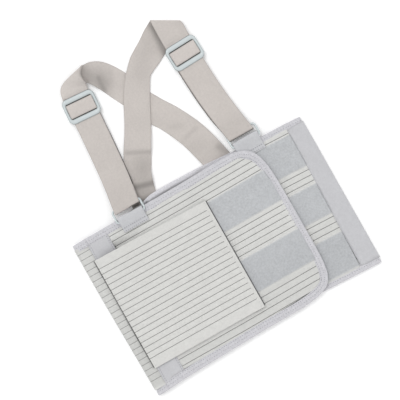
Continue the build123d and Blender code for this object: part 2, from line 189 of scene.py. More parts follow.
def make_piece(cloth, name, material, thickness=0.0, facing=None, bevel=0.0):
    """Turn a bmesh into an object, with its thickness under the face that it was made with."""
    cloth.normal_update()
    if facing and sum(face.normal.dot(Vector(facing)) for face in cloth.faces) < 0:
        bmesh.ops.reverse_faces(cloth, faces=cloth.faces)
    data = bpy.data.meshes.new(name)
    cloth.to_mesh(data)
    cloth.free()
    for polygon in data.polygons:
        polygon.use_smooth = True
    data.materials.append(material)
    piece = bpy.data.objects.new(name, data)
    bpy.context.scene.collection.objects.link(piece)
    if thickness:
        wall = piece.modifiers.new("thickness", "SOLIDIFY")
        wall.thickness = thickness * MM
        wall.offset = -1.0
    if bevel:
        rounding = piece.modifiers.new("soft edges", "BEVEL")
        rounding.width = bevel * MM
        rounding.segments = 2
        rounding.limit_method = "ANGLE"
        rounding.angle_limit = radians(50)
    return piece


def new_fabric(name, roughness=0.9, sheen=0.15):
    """Material of a matt cloth, with a slight bloom at grazing angles."""
    material = bpy.data.materials.new(name)
    material.use_nodes = True
    shader = material.node_tree.nodes["Principled BSDF"]
    shader.inputs["Roughness"].default_value = roughness
    shader.inputs["Specular IOR Level"].default_value = 0.2
    shader.inputs["Sheen Weight"].default_value = sheen
    shader.inputs["Sheen Roughness"].default_value = 0.5
    return material, material.node_tree, shader


def feed(tree, socket, value):
    """Give a socket a number, a colour or another node's output."""
    if isinstance(value, bpy.types.NodeSocket):
        tree.links.new(value, socket)
    elif isinstance(value, tuple):
        socket.default_value = (*value, 1.0) if len(value) == 3 else value
    else:
        socket.default_value = value


def calc(tree, operation, *values):
    """One arithmetic step of a material."""
    step = tree.nodes.new("ShaderNodeMath")
    step.operation = operation
    for socket, value in zip(step.inputs, values):
        feed(tree, socket, value)
    return step.outputs[0]


def ramp(tree, value, start, end):
    """0 at start, 1 at end, smooth between."""
    step = tree.nodes.new("ShaderNodeMapRange")
    step.interpolation_type = "SMOOTHSTEP"
    feed(tree, step.inputs["Value"], value)
    step.inputs["From Min"].default_value = start
    step.inputs["From Max"].default_value = end
    return step.outputs[0]


def mixed(tree, factor, first, second, mode="MIX"):
    """Colour between two others."""
    mix = tree.nodes.new("ShaderNodeMix")
    mix.data_type = "RGBA"
    mix.blend_type = mode
    feed(tree, mix.inputs[0], factor)
    feed(tree, mix.inputs[6], first)
    feed(tree, mix.inputs[7], second)
    return mix.outputs[2]


def cloth_axes(tree):
    """The cloth's own coordinates in mm: along, across, and a third that each cloth uses as it needs."""
    source = tree.nodes.new("ShaderNodeAttribute")
    source.attribute_name = "pattern"
    parts = tree.nodes.new("ShaderNodeSeparateXYZ")
    tree.links.new(source.outputs["Vector"], parts.inputs[0])
    return parts.outputs[0], parts.outputs[1], parts.outputs[2]


def mottle(tree, scale, detail=3.0):
    """Cloudy variation over the object, from 0 to 1."""
    place = tree.nodes.new("ShaderNodeTexCoord")
    cloud = tree.nodes.new("ShaderNodeTexNoise")
    cloud.inputs["Scale"].default_value = scale
    cloud.inputs["Detail"].default_value = detail
    tree.links.new(place.outputs["Object"], cloud.inputs["Vector"])
    return cloud.outputs["Fac"]


def paint_shade(cloth, depth):
    """Paint shade into a piece: depth(x, y, z) gives how much darker each point is painted, 0 to 1; below 0
    paints light.
    """
    mark = cloth.verts.layers.float.new("depth")
    for point in cloth.verts:
        point[mark] = depth(*(point.co / MM))
    return cloth


def with_painted_shade(tree, colour):
    """The colour with painted shade: darker by the depth attribute where the piece lies deep in a fold or
    under an edge, lighter where it is below 0.
    """
    source = tree.nodes.new("ShaderNodeAttribute")
    source.attribute_name = "depth"
    light = calc(tree, "SUBTRACT", 1.0, source.outputs["Fac"])
    return mixed(tree, 1.0, colour, light, "MULTIPLY")


def relief(tree, shader, height, depth):
    """Fine surface relief; depth is in mm."""
    bump = tree.nodes.new("ShaderNodeBump")
    bump.inputs["Strength"].default_value = 1.0
    bump.inputs["Distance"].default_value = depth * MM
    tree.links.new(height, bump.inputs["Height"])
    tree.links.new(bump.outputs[0], shader.inputs["Normal"])


def wave(tree, value, pitch, phase=0.0):
    """Sine of a coordinate, from -1 to 1."""
    turns = calc(tree, "MULTIPLY_ADD", value, 2 * pi / pitch, phase)
    return calc(tree, "SINE", turns)


def ribbed_cloth(name, ground, line, line_width, line_strength=0.85):
    """Elastic with dark rib yarns: across is the distance to the nearest rib, the third is loop pile."""
    material, tree, shader = new_fabric(name)
    along, to_rib, pile = cloth_axes(tree)
    lengthwise = wave(tree, to_rib, 0.95)
    crosswise = wave(tree, along, 1.15)
    knit = calc(tree, "MULTIPLY", lengthwise, crosswise)
    cloud = mottle(tree, 90.0)
    fuzz = mottle(tree, 1400.0, 2.0)
    grain = mottle(tree, 420.0, 3.0)
    tone = calc(tree, "MULTIPLY_ADD", cloud, 0.10, calc(tree, "MULTIPLY_ADD", grain, 0.16, 0.87))
    tone = calc(tree, "MULTIPLY_ADD", knit, 0.05, tone)
    cream = mixed(tree, 1.0, ground, tone, "MULTIPLY")
    near = ramp(tree, to_rib, line_width, line_width * 0.45)
    broken = calc(tree, "MULTIPLY_ADD", wave(tree, along, 1.6), 0.18, line_strength)
    near = calc(tree, "MULTIPLY", near, broken)
    elastic = mixed(tree, near, cream, line)
    nap = calc(tree, "MULTIPLY_ADD", fuzz, 0.30, calc(tree, "MULTIPLY_ADD", cloud, 0.16, 0.50))
    nap = calc(tree, "MULTIPLY_ADD", grain, 0.45, calc(tree, "ADD", nap, 0.05))
    plush = mixed(tree, 1.0, PLUSH_GREY, nap, "MULTIPLY")
    feed(tree, shader.inputs["Base Color"], with_painted_shade(tree, mixed(tree, pile, elastic, plush)))
    height = calc(tree, "MULTIPLY", knit, calc(tree, "SUBTRACT", 1.0, pile))
    height = calc(tree, "MULTIPLY_ADD", calc(tree, "MULTIPLY", fuzz, pile), 2.4, height)
    relief(tree, shader, height, 0.16)
    return material


PLUSH_GREY = (0.485, 0.497, 0.512)
RIB_GREY = (0.11, 0.11, 0.105)
ELASTIC_CREAM = (0.735, 0.735, 0.715)
GROOVE_WIDTH = 0.6
panel_cloth = ribbed_cloth("ribbed elastic", ELASTIC_CREAM, RIB_GREY, 0.55)


def undulation(x, y, height=0.35, size=45.0):
    """Slow rise and fall of cloth that was never pressed flat."""
    return height * noise.noise(Vector((x / size, y / size, 0.7)))


def ribbed_sheet(columns, keys, ribs, warp, top, pile=None, plain=None):
    """Ribbed cloth lying flat: rib lines at the given rows, warped in plan, sunk at each line."""
    rows = rib_rows(keys, ribs)
    no_rib = 10.0

    def place(i, j):
        x, row = columns[i], rows[j]
        y = row + warp(x, row)
        to_rib = min(abs(row - rib) for rib in ribs)
        if plain and plain(x, row):
            to_rib = no_rib + abs(row)
        plush = pile(x, row) if pile else 0.0
        groove = 0.36 * exp(-(to_rib / GROOVE_WIDTH) ** 2)
        nap = 0.75 * plush + 0.22 * plush * noise.noise(Vector((x / 2.6, row / 2.6, 3.1)))
        z = top(x, y) - groove + nap
        return (x, y, z), (x, to_rib, plush)

    return shaped_grid(len(columns) - 1, len(rows) - 1, place)


def outline_cuts(points):
    """Straight cuts along a convex outline that is listed clockwise."""
    cuts = []
    for (x0, y0), (x1, y1) in zip(points, points[1:] + points[:1]):
        cuts.append(((x0, y0), (-(y1 - y0), x1 - x0)))
    return cuts


RIB_PITCH = 7.66
LONG_RIBS = [93 - RIB_PITCH * k for k in range(25)]
SHELL_THICKNESS = 1.1
back_rows = [107.0, 100.6] + LONG_RIBS + [-101.0]
back_cloth = ribbed_sheet(sampled((-146.0, 150.0), 6.0), back_rows, LONG_RIBS, lambda x, row: 0.0,
                          lambda x, y: -0.05)
for point in back_cloth.verts:
    point.co.z = FLOOR_GAP / 10 - point.co.z
trim(back_cloth, outline_cuts([(-160, 96), (-50, 99.4), (-10, 99.4), (35, 99.4), (90, 99.4), (160, 99.4),
                               (160, -94), (84, -93), (0, -96), (-80, -99), (-160, -104)]))
back_shell = make_piece(back_cloth, "back_outer_cloth", panel_cloth, SHELL_THICKNESS,
                        (0, 0, -1))
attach(back_shell, "root")
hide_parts("back_outer_shell")


# ---- Stays in their pockets ---------------------------------------------------------------
# Four flat spring-steel stays, each with rounded ends, slid into pockets of plain cloth that are sewn
# to the inside of the outer shell. Nothing shows of them while the lining is closed.

STRIP_GREY = (0.575, 0.575, 0.595)


def plain_cloth(name, ground, pitch=0.8, contrast=0.05):
    """Closely woven plain cloth."""
    material, tree, shader = new_fabric(name)
    along, across = cloth_axes(tree)[:2]
    weave = calc(tree, "MULTIPLY", wave(tree, along, pitch), wave(tree, across, pitch))
    tone = calc(tree, "MULTIPLY_ADD", mottle(tree, 70.0), 0.12, 0.86)
    tone = calc(tree, "MULTIPLY_ADD", weave, contrast, tone)
    tone = calc(tree, "MULTIPLY_ADD", mottle(tree, 420.0), 0.18, tone)
    feed(tree, shader.inputs["Base Color"], with_painted_shade(tree, mixed(tree, 1.0, ground, tone, "MULTIPLY")))
    relief(tree, shader, weave, 0.10)
    return material


pocket_cloth = plain_cloth("pocket cloth", STRIP_GREY)
steel = bpy.data.materials.new("stay steel")
steel.use_nodes = True
tree = steel.node_tree
shader = tree.nodes["Principled BSDF"]
shader.inputs["Metallic"].default_value = 1.0
brushed = calc(tree, "MULTIPLY_ADD", mottle(tree, 300.0), 0.2, 0.25)
feed(tree, shader.inputs["Roughness"], brushed)
steel_grey = mixed(tree, mottle(tree, 60.0), (0.48, 0.49, 0.50), (0.58, 0.59, 0.60))
feed(tree, shader.inputs["Base Color"], steel_grey)
for number in (1, 2, 3, 4):
    stay = bpy.data.objects[f"back_stay_{number}"]
    stay.data.materials.clear()
    stay.data.materials.append(steel)
pockets = bpy.data.objects["back_stay_pockets"]
pockets.data.materials.clear()
pockets.data.materials.append(pocket_cloth)


# ---- Lining -------------------------------------------------------------------------------
# Smooth cloth on the wearer's side of the back panel, sewn in under the binding.

def plain_sheet(columns, rows, warp, top):
    """Plain cloth lying flat, with its own coordinates along and across."""

    def place(i, j):
        x, row = columns[i], rows[j]
        y = row + warp(x, row)
        return (x, y, top(x, y)), (x, row, 0.0)

    return shaped_grid(len(columns) - 1, len(rows) - 1, place)


LINING_GREY = (0.56, 0.56, 0.58)
LINING_TOP = 3.95
lining_cloth = plain_cloth("lining cloth", LINING_GREY, 0.7, 0.04)
lining_mesh = plain_sheet(sampled((-146.0, 150.0), 5.0), sampled((112.0, -101.0), 5.0), lambda x, row: 0.0,
                          lambda x, y: LINING_TOP + undulation(x, y, 0.15))
trim(lining_mesh, outline_cuts([(-160, 98), (-110, 101), (-50, 107), (-10, 109), (35, 107.5), (90, 103),
                                (160, 100), (160, -94), (84, -92), (0, -95), (-80, -98), (-160, -104)]))
lining = make_piece(lining_mesh, "back_lining_cloth", lining_cloth, 0.7, (0, 0, 1))
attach(lining, "root")
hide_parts("back_inner_lining")


# ---- Folded left side ---------------------------------------------------------------------
# The ribbed cloth comes round from the back panel in a soft roll; its ribs run on round the fold.

def fold_profile(x_fold, x_seam, low, high, straight=4):
    """Outer face of a fold seen from below: from the seam underneath, round, to the seam on top."""
    side = 1 if x_fold > x_seam else -1
    radius = (high - low) / 2
    centre = x_fold - side * radius
    flat = [x_seam + (centre - x_seam) * k / straight for k in range(straight)]
    bend = [(centre + side * radius * sin(pi * k / 12), low + radius * (1 - cos(pi * k / 12)))
            for k in range(13)]
    return [(x, low) for x in flat] + bend + [(x, high) for x in reversed(flat)]


def fold_lean(x, y):
    """The left fold stands in a little towards the bottom edge of the belt."""
    nearness = ease((-120.0 - x) / 40.0)
    return nearness * 2.0 * ease((60.0 - y) / 175.0)


left_profile = fold_profile(-162.5, -143.5, 0.0, 9.25, 12)
ROLL_MIDDLE = Vector((-152.0, 4.6))
left_rows = rib_rows([101.0] + LONG_RIBS + [-103.0], LONG_RIBS)


def left_fold_place(i, j):
    x, z = left_profile[i]
    row = left_rows[j]
    to_rib = min(min(abs(row - rib) for rib in LONG_RIBS), 9.0)
    groove = 0.22 * exp(-(to_rib / GROOVE_WIDTH) ** 2)
    z -= 1.1 * ease((x + 158.0) / 12.0) if z > ROLL_MIDDLE.y else 0.0
    inwards = (ROLL_MIDDLE - Vector((x, z))).normalized() * groove
    x_here = x + inwards.x + fold_lean(x, row)
    return (x_here, row, z + inwards.y), (z * 1.6 + x, to_rib, 0.0)


def beside_band(x, y, z):
    """Painted shade: the fold is darkest right beside the sewn end of the tension band, and painted a little
    darker towards the bottom.
    """
    beside = ease((x + 148.4) / 1.1) * ease((78.5 - y) / 3.0) * ease((y + 79.5) / 3.0)
    return max(0.8 * beside, 0.04 + 0.07 * ease(-y / 60.0)) if z > 5 else 0.0


left_fold_mesh = shaped_grid(len(left_profile) - 1, len(left_rows) - 1, left_fold_place)
paint_shade(left_fold_mesh, beside_band)
fold_cloth = ribbed_cloth("folded elastic", ELASTIC_CREAM, RIB_GREY, 0.5, 0.66)
left_fold = make_piece(left_fold_mesh, "left_side_cloth", fold_cloth, SHELL_THICKNESS,
                       (-1, 0, 0))
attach(left_fold, "root")
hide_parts("left_side_fold")


# ---- Folded right side --------------------------------------------------------------------
# Plain cloth round the other fold, sewn to the elastic along a straight seam on top.

right_profile = fold_profile(171.0, 145.5, 0.0, 6.05, 6)
right_rows = sampled((102.0, -96.0), 4.0)


def right_fold_place(i, j):
    x, z = right_profile[i]
    row = right_rows[j]
    seam = 1 - ease((x - 145.0) / 6.0)
    lean = seam * (-1.5 + 3.0 * ease((row + 90.0) / 190.0)) if z > 3 else 0.0
    return (x + lean, row, z + undulation(x, row, 0.2) * ease(z / 4)), (z * 1.6 + x, row, 0.0)


strip_cloth = plain_cloth("plain strip cloth", STRIP_GREY, 0.9, 0.06)
right_fold = make_piece(shaped_grid(len(right_profile) - 1, len(right_rows) - 1, right_fold_place),
                        "right_side_cloth", strip_cloth, SHELL_THICKNESS, (1, 0, 0))
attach(right_fold, "root")
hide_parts("right_side_fold")


# ---- Right front panel --------------------------------------------------------------------
# The half of the front that lies underneath: one length of elastic with three broad zones of loop
# pile woven into it, on which the closure flap is pressed.

def zones(edges, soft=1.3):
    """Woven-in pile: 1 inside the given stretches across the cloth, with short soft borders."""
    return lambda x, row: max(ease((row - low) / soft + 0.5) * ease((high - row) / soft + 0.5)
                              for low, high in edges)


RIGHT_RIBS = [98.6, 46.0, 38.5, 31.0, -21.0, -29.0, -37.0]
RIGHT_PILE = ((51.5, 96.6), (-16.5, 26.5), (-91.5, -42.5))
RIGHT_FRONT_TOP = 6.1
FRONT_THICKNESS = 1.2
right_keys = [104.0, 98.6, 96.6, 51.5, 46.0, 38.5, 31.0, 26.5, -16.5, -21.0, -29.0, -37.0, -42.5, -91.5,
              -97.0]
right_cloth = ribbed_sheet(sampled((-70.0, 149.0), 3.0), right_keys, RIGHT_RIBS,
                           lambda x, row: -1.5 * ease((x - 100.0) / 60.0),
                           lambda x, y: RIGHT_FRONT_TOP + undulation(x, y, 0.25), zones(RIGHT_PILE))
trim(right_cloth, outline_cuts([(-70, 103), (147, 103), (147.5, 60), (146, 10), (144.5, -50), (143.5, -96),
                                (-70, -96)]))


def painted_lower_shade(x, y, z):
    """Painted shade: the lower half of both fronts is painted a touch darker than the upper half, as the
    light falls.
    """
    return 0.05 * ease(-y / 60.0)


paint_shade(right_cloth, painted_lower_shade)
right_front = make_piece(right_cloth, "right_front_cloth", panel_cloth, FRONT_THICKNESS,
                         (0, 0, 1))
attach(right_front, "root")
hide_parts("right_front_panel", "right_plush_upper", "right_plush_middle", "right_plush_lower")


# ---- Binding round the belt ---------------------------------------------------------------
# One long knitted tape folded over the raw edge and sewn through: round the left fold, along the
# back, round the right fold, and round the hidden end of the right front.

def resampled(points, step):
    """Points at an even spacing along a run of points; every coordinate is carried along."""
    runs = [0.0]
    for a, b in zip(points, points[1:]):
        runs.append(runs[-1] + sum((p - q) ** 2 for p, q in zip(a, b)) ** 0.5)
    count = max(2, round(runs[-1] / step))
    even, k = [], 0
    for n in range(count + 1):
        s = runs[-1] * n / count
        while k < len(points) - 2 and runs[k + 1] < s:
            k += 1
        t = (s - runs[k]) / (runs[k + 1] - runs[k])
        even.append(tuple(a + (b - a) * t for a, b in zip(points[k], points[k + 1])))
    return even


def softened(points, passes):
    """The same run with its corners eased."""
    for _ in range(passes):
        inner = [tuple((a + 2 * b + c) / 4 for a, b, c in zip(p, q, r))
                 for p, q, r in zip(points, points[1:], points[2:])]
        points = [points[0]] + inner + [points[-1]]
    return points


TAPE_SECTION = [(0.0, 0.0), (0.15, 0.55), (0.6, 0.9), (1.4, 1.0), (4.0, 0.98), (6.0, 0.94), (7.5, 0.9),
                (8.6, 0.78), (9.6, 0.88), (10.3, 0.72), (10.5, 0.3), (10.5, -0.3), (10.3, -0.72),
                (9.6, -0.88), (8.6, -0.8), (4.0, -0.98), (1.4, -1.0), (0.6, -0.9), (0.15, -0.55), (0.0, 0.0)]


def tape_frames(path, face):
    """Stations of a tape: position, half thickness, the direction in from the edge, and its outer face."""
    face = Vector(face)
    frames, run = [], 0.0
    for k, spot in enumerate(path):
        ahead = (Vector(path[min(k + 1, len(path) - 1)][:3]) - Vector(path[max(k - 1, 0)][:3])).normalized()
        inward = face.cross(ahead).normalized()
        face = ahead.cross(inward)
        if k:
            run += (Vector(spot[:3]) - Vector(path[k - 1][:3])).length
        frames.append((Vector(spot[:3]), spot[3], inward, face.copy(), run))
    return frames


def bound_edge(frames):
    """Tape folded over an edge: a closed flat bar carried along the outer edge."""

    def place(i, j):
        spot, half, inward, face, run = frames[i]
        inside, height = TAPE_SECTION[j]
        return spot + inward * inside + face * height * half, (run, inside, 0.0)

    return shaped_grid(len(frames) - 1, len(TAPE_SECTION) - 1, place, tube=True)


def sewn_line(frames, inside, pitch, length, height):
    """Places of the stitches of one row: position, direction along and outer face."""
    spots, k = [], 0
    count = int(frames[-1][4] / pitch)
    for n in range(count):
        s = (n + 0.5) * pitch
        while k < len(frames) - 2 and frames[k + 1][4] < s:
            k += 1
        a, b = frames[k], frames[k + 1]
        t = (s - a[4]) / max(b[4] - a[4], 1e-6)
        spot = a[0].lerp(b[0], t) + a[2] * inside + a[3] * a[1] * height
        spots.append((spot, (b[0] - a[0]).normalized() * length, a[3]))
    return spots


def stitches(spots, name, material, width=0.75, height=0.3):
    """Sewing thread showing as small raised grains, one at each place."""
    sewing = bmesh.new()
    sewing.verts.layers.float_vector.new("pattern")
    for spot, lengthwise, up in spots:
        ahead = lengthwise.normalized()
        side = up.cross(ahead).normalized()
        axes = (ahead * lengthwise.length / 2 * MM, side * width / 2 * MM, up * height * MM)
        placed = Matrix.Translation(spot * MM) @ Matrix(axes).transposed().to_4x4()
        bmesh.ops.create_icosphere(sewing, subdivisions=1, radius=1.0, matrix=placed)
    return make_piece(sewing, name, material)


def binding_material(name, ground):
    """Knitted binding tape: small stitches in columns, with a fine fleck."""
    material, tree, shader = new_fabric(name, 0.92)
    along, inside = cloth_axes(tree)[:2]
    loops = calc(tree, "MULTIPLY", wave(tree, along, 1.3), wave(tree, inside, 1.25))
    fleck = mottle(tree, 480.0, 3.0)
    tone = calc(tree, "MULTIPLY_ADD", loops, 0.08, calc(tree, "MULTIPLY_ADD", fleck, 0.50, 0.75))
    feed(tree, shader.inputs["Base Color"], with_painted_shade(tree, mixed(tree, 1.0, ground, tone, "MULTIPLY")))
    relief(tree, shader, loops, 0.14)
    return material


binding_cloth = binding_material("binding tape", (0.625, 0.62, 0.65))
thread = bpy.data.materials.new("sewing thread")
thread.use_nodes = True
tree = thread.node_tree
shader = tree.nodes["Principled BSDF"]
shader.inputs["Roughness"].default_value = 0.7
thread_grey = mixed(tree, mottle(tree, 500.0), (0.24, 0.237, 0.27), (0.32, 0.316, 0.35))
feed(tree, shader.inputs["Base Color"], thread_grey)


def fold_run(x_fold, side, y, from_z, to_z, half):
    """Middle line of the tape round a fold, from one height to the other."""
    radius = abs(to_z - from_z) / 2
    centre = x_fold - side * (half + radius)
    middle = (from_z + to_z) / 2
    way = 1 if to_z > from_z else -1
    return [(centre + side * radius * sin(pi * k / 10), y, middle - way * radius * cos(pi * k / 10), half)
            for k in range(11)]


TAPE_SPACING = 1.3
belt_edge = (
    [(-143.0, 107.5, 8.65, 1.15)]
    + fold_run(-162.3, -1, 107.0, 8.5, 1.2, 1.0)
    + [(-143, 105.75, 2.6, 1.3), (-110, 106.8, 2.8, 1.3), (-78, 107.6, 2.8, 1.3), (-64, 109.2, 2.8, 1.3),
       (-54, 113.2, 2.8, 1.3), (-45, 115.8, 2.8, 1.3), (-30, 116.4, 2.8, 1.3), (-10, 116.4, 2.8, 1.3),
       (12, 116.0, 2.8, 1.3), (35, 114.9, 2.8, 1.3), (62, 112.8, 2.8, 1.3), (90, 110.5, 2.8, 1.3),
       (147, 108.9, 2.5, 1.3)]
    + fold_run(170.8, 1, 108.4, 1.6, 5.1, 1.0)
    + [(147, 109.6, 5.5, 1.1), (112, 110.4, 5.5, 1.1), (86, 109.6, 5.5, 1.1), (66, 107.0, 5.5, 1.1),
       (20, 104.6, 5.5, 1.1), (-50, 104.2, 5.5, 1.1), (-66, 101.5, 5.5, 1.1), (-72.9, 95, 5.5, 1.1),
       (-72.9, -85, 5.5, 1.1), (-68, -94.5, 5.5, 1.1), (-58, -98.0, 5.5, 1.1), (20, -98.9, 5.5, 1.1),
       (85, -99.5, 5.5, 1.1), (147, -102.0, 5.5, 1.1)]
    + fold_run(170.8, 1, -102.9, 5.1, 1.6, 1.0)
    + [(147, -101.4, 2.2, 2.0), (84, -99.5, 2.2, 2.0), (0, -102.5, 2.2, 2.0), (-80, -105.4, 2.2, 2.0),
       (-143, -108.9, 2.2, 2.0)]
    + [(x + 1.8, y, z, half) for x, y, z, half in fold_run(-162.3, -1, -111.3, 1.2, 8.5, 1.0)]
    + [(-143.0, -110.4, 8.65, 1.15)]
)
belt_frames = tape_frames(softened(resampled(belt_edge, TAPE_SPACING), 4), (0, 0, 1))


def under_flap(x, y, z):
    """Painted shade on the rear stretch where the front's top edge hangs over it, and painted light along its
    own edge.
    """
    along = ease((x + 60.0) / 8.0) * ease((32.0 - x) / 16.0) * ease((y - 100.0) / 3.0)
    front_edge = 108.2 + 2.0 * ease((x + 40.0) / 110.0)
    return along * (0.95 * ease((front_edge + 2.9 - y) / 2.2) - 0.17) if 2.8 < z < 5.0 else 0.0


belt_tape = paint_shade(bound_edge(belt_frames), under_flap)
belt_binding = make_piece(belt_tape, "belt_binding_tape", binding_cloth)
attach(belt_binding, "root")
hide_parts("back_top_binding", "back_bottom_binding", "left_side_top_binding",
            "left_side_bottom_binding", "right_side_top_binding", "right_side_bottom_binding",
            "right_front_top_binding", "right_front_bottom_binding", "right_front_end_binding")


def tape_sewing(frames, name):
    """The tape's two rows of stitches: one along its inner edge, a shorter one along its middle."""
    rows = sewn_line(frames, 8.6, 3.4, 2.0, 0.8) + sewn_line(frames, 4.6, 3.4, 1.4, 0.97)
    return stitches(rows, name, thread)


belt_sewing = tape_sewing(belt_frames, "belt_binding_sewing")
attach(belt_sewing, "root")


# ---- Left seam strip ----------------------------------------------------------------------
# Plain cloth between the folded side and the elastic, topstitched along both edges. The tension
# band is sewn down over the middle of it.

STRIP_TOP = 9.35


def strip_rise(x):
    """The strip climbs a little where it laps over the end of the elastic."""
    return 0.35 * ease((x + 121.0) / 5.0)


strip = plain_sheet(sampled((-144.0, -115.0), 2.0), sampled((104.0, -104.0), 4.0), lambda x, row: 0.0,
                    lambda x, y: STRIP_TOP + strip_rise(x) + undulation(x, y, 0.15))
trim(strip, outline_cuts([(-160, 98.5), (-100, 99.2), (-100, -98.0), (-160, -101.5)]))
# Painted shade on the strip just above the band's top edge.
paint_shade(strip, lambda x, y, z: 0.14 * ease((x + 146.0) / 20.0) * exp(-((y - 79.0) / 6.0) ** 2))
seam_strip = make_piece(strip, "left_seam_strip_cloth", strip_cloth, 0.9, (0, 0, 1))
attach(seam_strip, "root")
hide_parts("left_seam_strip")
strip_rows = []
for strip_x in (-141.6, -117.4):
    for k in range(66):
        spot = Vector((strip_x, 96.5 - 3.0 * k, STRIP_TOP + 0.1 + strip_rise(strip_x)))
        strip_rows.append((spot, Vector((0, 2.0, 0)), Vector((0, 0, 1))))
strip_sewing = stitches(strip_rows, "left_seam_strip_sewing", thread)
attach(strip_sewing, "root")


# ---- Left front and closure flap ----------------------------------------------------------
# One length of the same elastic: ribbed along its edges and its middle, with two zones of loop pile.
# Its free end is the closure flap, which lies on the right front.

LEFT_RIBS = [94.5, 87.3, 80.0, 73.0, 22.0, 14.5, 7.0, -0.5, -8.5, -67.5, -76.0, -84.0, -93.0]
LEFT_PILE = ((27.5, 71.0), (-59.5, -13.5))
LEFT_FRONT_TOP = 9.3
left_keys = [103.0, 94.5, 87.3, 80.0, 73.0, 71.0, 27.5, 22.0, 14.5, 7.0, -0.5, -8.5, -13.5, -59.5, -67.5,
             -76.0, -84.0, -93.0, -104.0]


def flap_warp(x, row):
    """The ribs climb slightly towards the free end, at the top and at the bottom."""
    return (x + 20.0) / 110.0 * 1.8 * abs(row) / 90.0 if x > -20 else 0.0


def front_top(x, y):
    """Upper face of the left front: arched along its upper edge and at its free end, and sunk beside
    the upper corner of the band, where nothing lies beneath it."""
    arch = 2.4 * ease((x + 52.0) / 30.0) * ease((92.0 - x) / 25.0) * ease((y - 80.0) / 24.0)
    rise = 2.4 * ease((x - 78.0) / 24.0)
    dent = 4.2 * ease((x + 137.0) / 16.0) * ease((-72.0 - x) / 40.0)
    dent *= ease((91.0 - y) / 14.0) * ease((y - 45.0) / 25.0)
    return LEFT_FRONT_TOP + undulation(x, y, 0.25) + arch + rise - dent


left_cloth = ribbed_sheet(sampled((-117.0, 100.0), 2.5), left_keys, LEFT_RIBS, flap_warp, front_top,
                          zones(LEFT_PILE))
flap_inner = [(-117, 99.3), (0, 100.4), (45, 101.4), (68, 101.5), (76, 100.8), (84, 97.0), (90, 91.5),
              (93.5, 85), (95.5, 76), (97.5, 60), (98, 0), (98, -50), (96, -75), (93, -84), (88, -90.5),
              (80, -93.5), (50, -96.3), (0, -96.6), (-60, -98.3), (-117, -101.3)]
trim(left_cloth, outline_cuts(flap_inner))
# Painted shade: the lower half of the left front a touch darker.
paint_shade(left_cloth, painted_lower_shade)
left_front = make_piece(left_cloth, "left_front_cloth", panel_cloth, FRONT_THICKNESS,
                        (0, 0, 1))
PEEL = ((0.020, 0, 0.0102), (0.046, 0, 0.0102))
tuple(PEEL[0])
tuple(PEEL[1])
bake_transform(left_front)
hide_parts("left_front_panel", "flap_panel", "landing_plush_upper", "landing_plush_lower",
            "flap_plush_upper", "flap_plush_lower")


# ---- Flap hook patch ----------------------------------------------------------------------
# Hook tape sewn to the underside of the flap, a broad patch with rounded corners.

def hook_material(name):
    """Hook tape: rows of tiny stiff hooks on a plain ground."""
    material, tree, shader = new_fabric(name, 0.55, 0.0)
    along, across = cloth_axes(tree)[:2]
    hooks = calc(tree, "MULTIPLY", wave(tree, along, 1.5), wave(tree, across, 1.5))
    dots = ramp(tree, hooks, 0.0, 0.6)
    ground = mixed(tree, dots, (0.50, 0.50, 0.52), (0.66, 0.66, 0.68))
    feed(tree, shader.inputs["Base Color"], with_painted_shade(tree, ground))
    relief(tree, shader, dots, 0.5)
    return material


def hook_patch(x0, x1, y0, y1, low, corner=4.0):
    """Flat patch of hook tape, its hooks facing down, with a finely divided strip at its free edge."""
    border = x1 - 1.6
    columns = sampled((x0, border), 3.0)[:-1] + sampled((border, x1), 0.4)
    cloth = plain_sheet(columns, sampled((y1, y0), 3.0), lambda x, row: 0.0, lambda x, y: low)
    trim(cloth, outline_cuts([(x0, y1 - corner), (x0 + corner, y1), (x1 - corner, y1), (x1, y1 - corner),
                              (x1, y0 + corner), (x1 - corner, y0), (x0 + corner, y0), (x0, y0 + corner)]))
    return cloth


hook_tape = hook_material("hook tape")
flap_hooks = make_piece(hook_patch(30, 90, -82, 82, 7.3), "flap_hook_tape", hook_tape, 0.7,
                        (0, 0, -1))
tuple(PEEL[0])
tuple(PEEL[1])
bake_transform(flap_hooks)
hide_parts("flap_hook_patch")


# ---- Binding round the left front and the flap --------------------------------------------
# The other stretch of tape, round the free end of the flap.

def lifted(x, y, z, half):
    """A point of the tape, following the panel."""
    return x, y, z + front_top(x, y) - LEFT_FRONT_TOP, half


flap_edge = [lifted(x, y, 8.65, 1.15) for x, y in (
    (-143, -110.4), (-120, -108.6), (-80, -107), (-40, -105.8), (0, -104.5), (50, -104.2), (65, -103),
    (80, -100.8), (91, -96.8), (98.5, -90.5), (103, -80), (105.3, -66), (106, -45), (106, 0), (105.9, 40),
    (105.2, 62), (103.6, 78), (101, 88.5), (96.5, 97.5), (90, 104), (82, 108.4), (72, 110.3), (40, 109.9),
    (0, 108.7), (-55, 108.2), (-143, 107.5))]
flap_frames = tape_frames(softened(resampled(flap_edge, TAPE_SPACING), 10), (0, 0, 1))
flap_binding = make_piece(bound_edge(flap_frames), "flap_binding_tape", binding_cloth)
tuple(PEEL[0])
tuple(PEEL[1])
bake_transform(flap_binding)
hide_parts("flap_binding", "left_front_top_binding", "left_front_bottom_binding")
flap_sewing = tape_sewing(flap_frames, "flap_binding_sewing")
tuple(PEEL[0])
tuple(PEEL[1])
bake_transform(flap_sewing)


# ---- Tension band -------------------------------------------------------------------------
# Broad ribbed elastic sewn down at its left end, with plain selvedges and a stitched hem at the free
# end, where a strip of hook tape underneath grips the pile.

root_tape_cloth = plain_sheet(sampled((-146.0, -139.5), 1.3), sampled((77.5, -78.0), 4.0), lambda x, row: 0.0,
                              lambda x, y: 10.7)
root_tape = make_piece(root_tape_cloth, "band_root_cloth", strip_cloth, 1.3, (0, 0, 1))
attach(root_tape, "root")
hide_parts("band_root_tape")

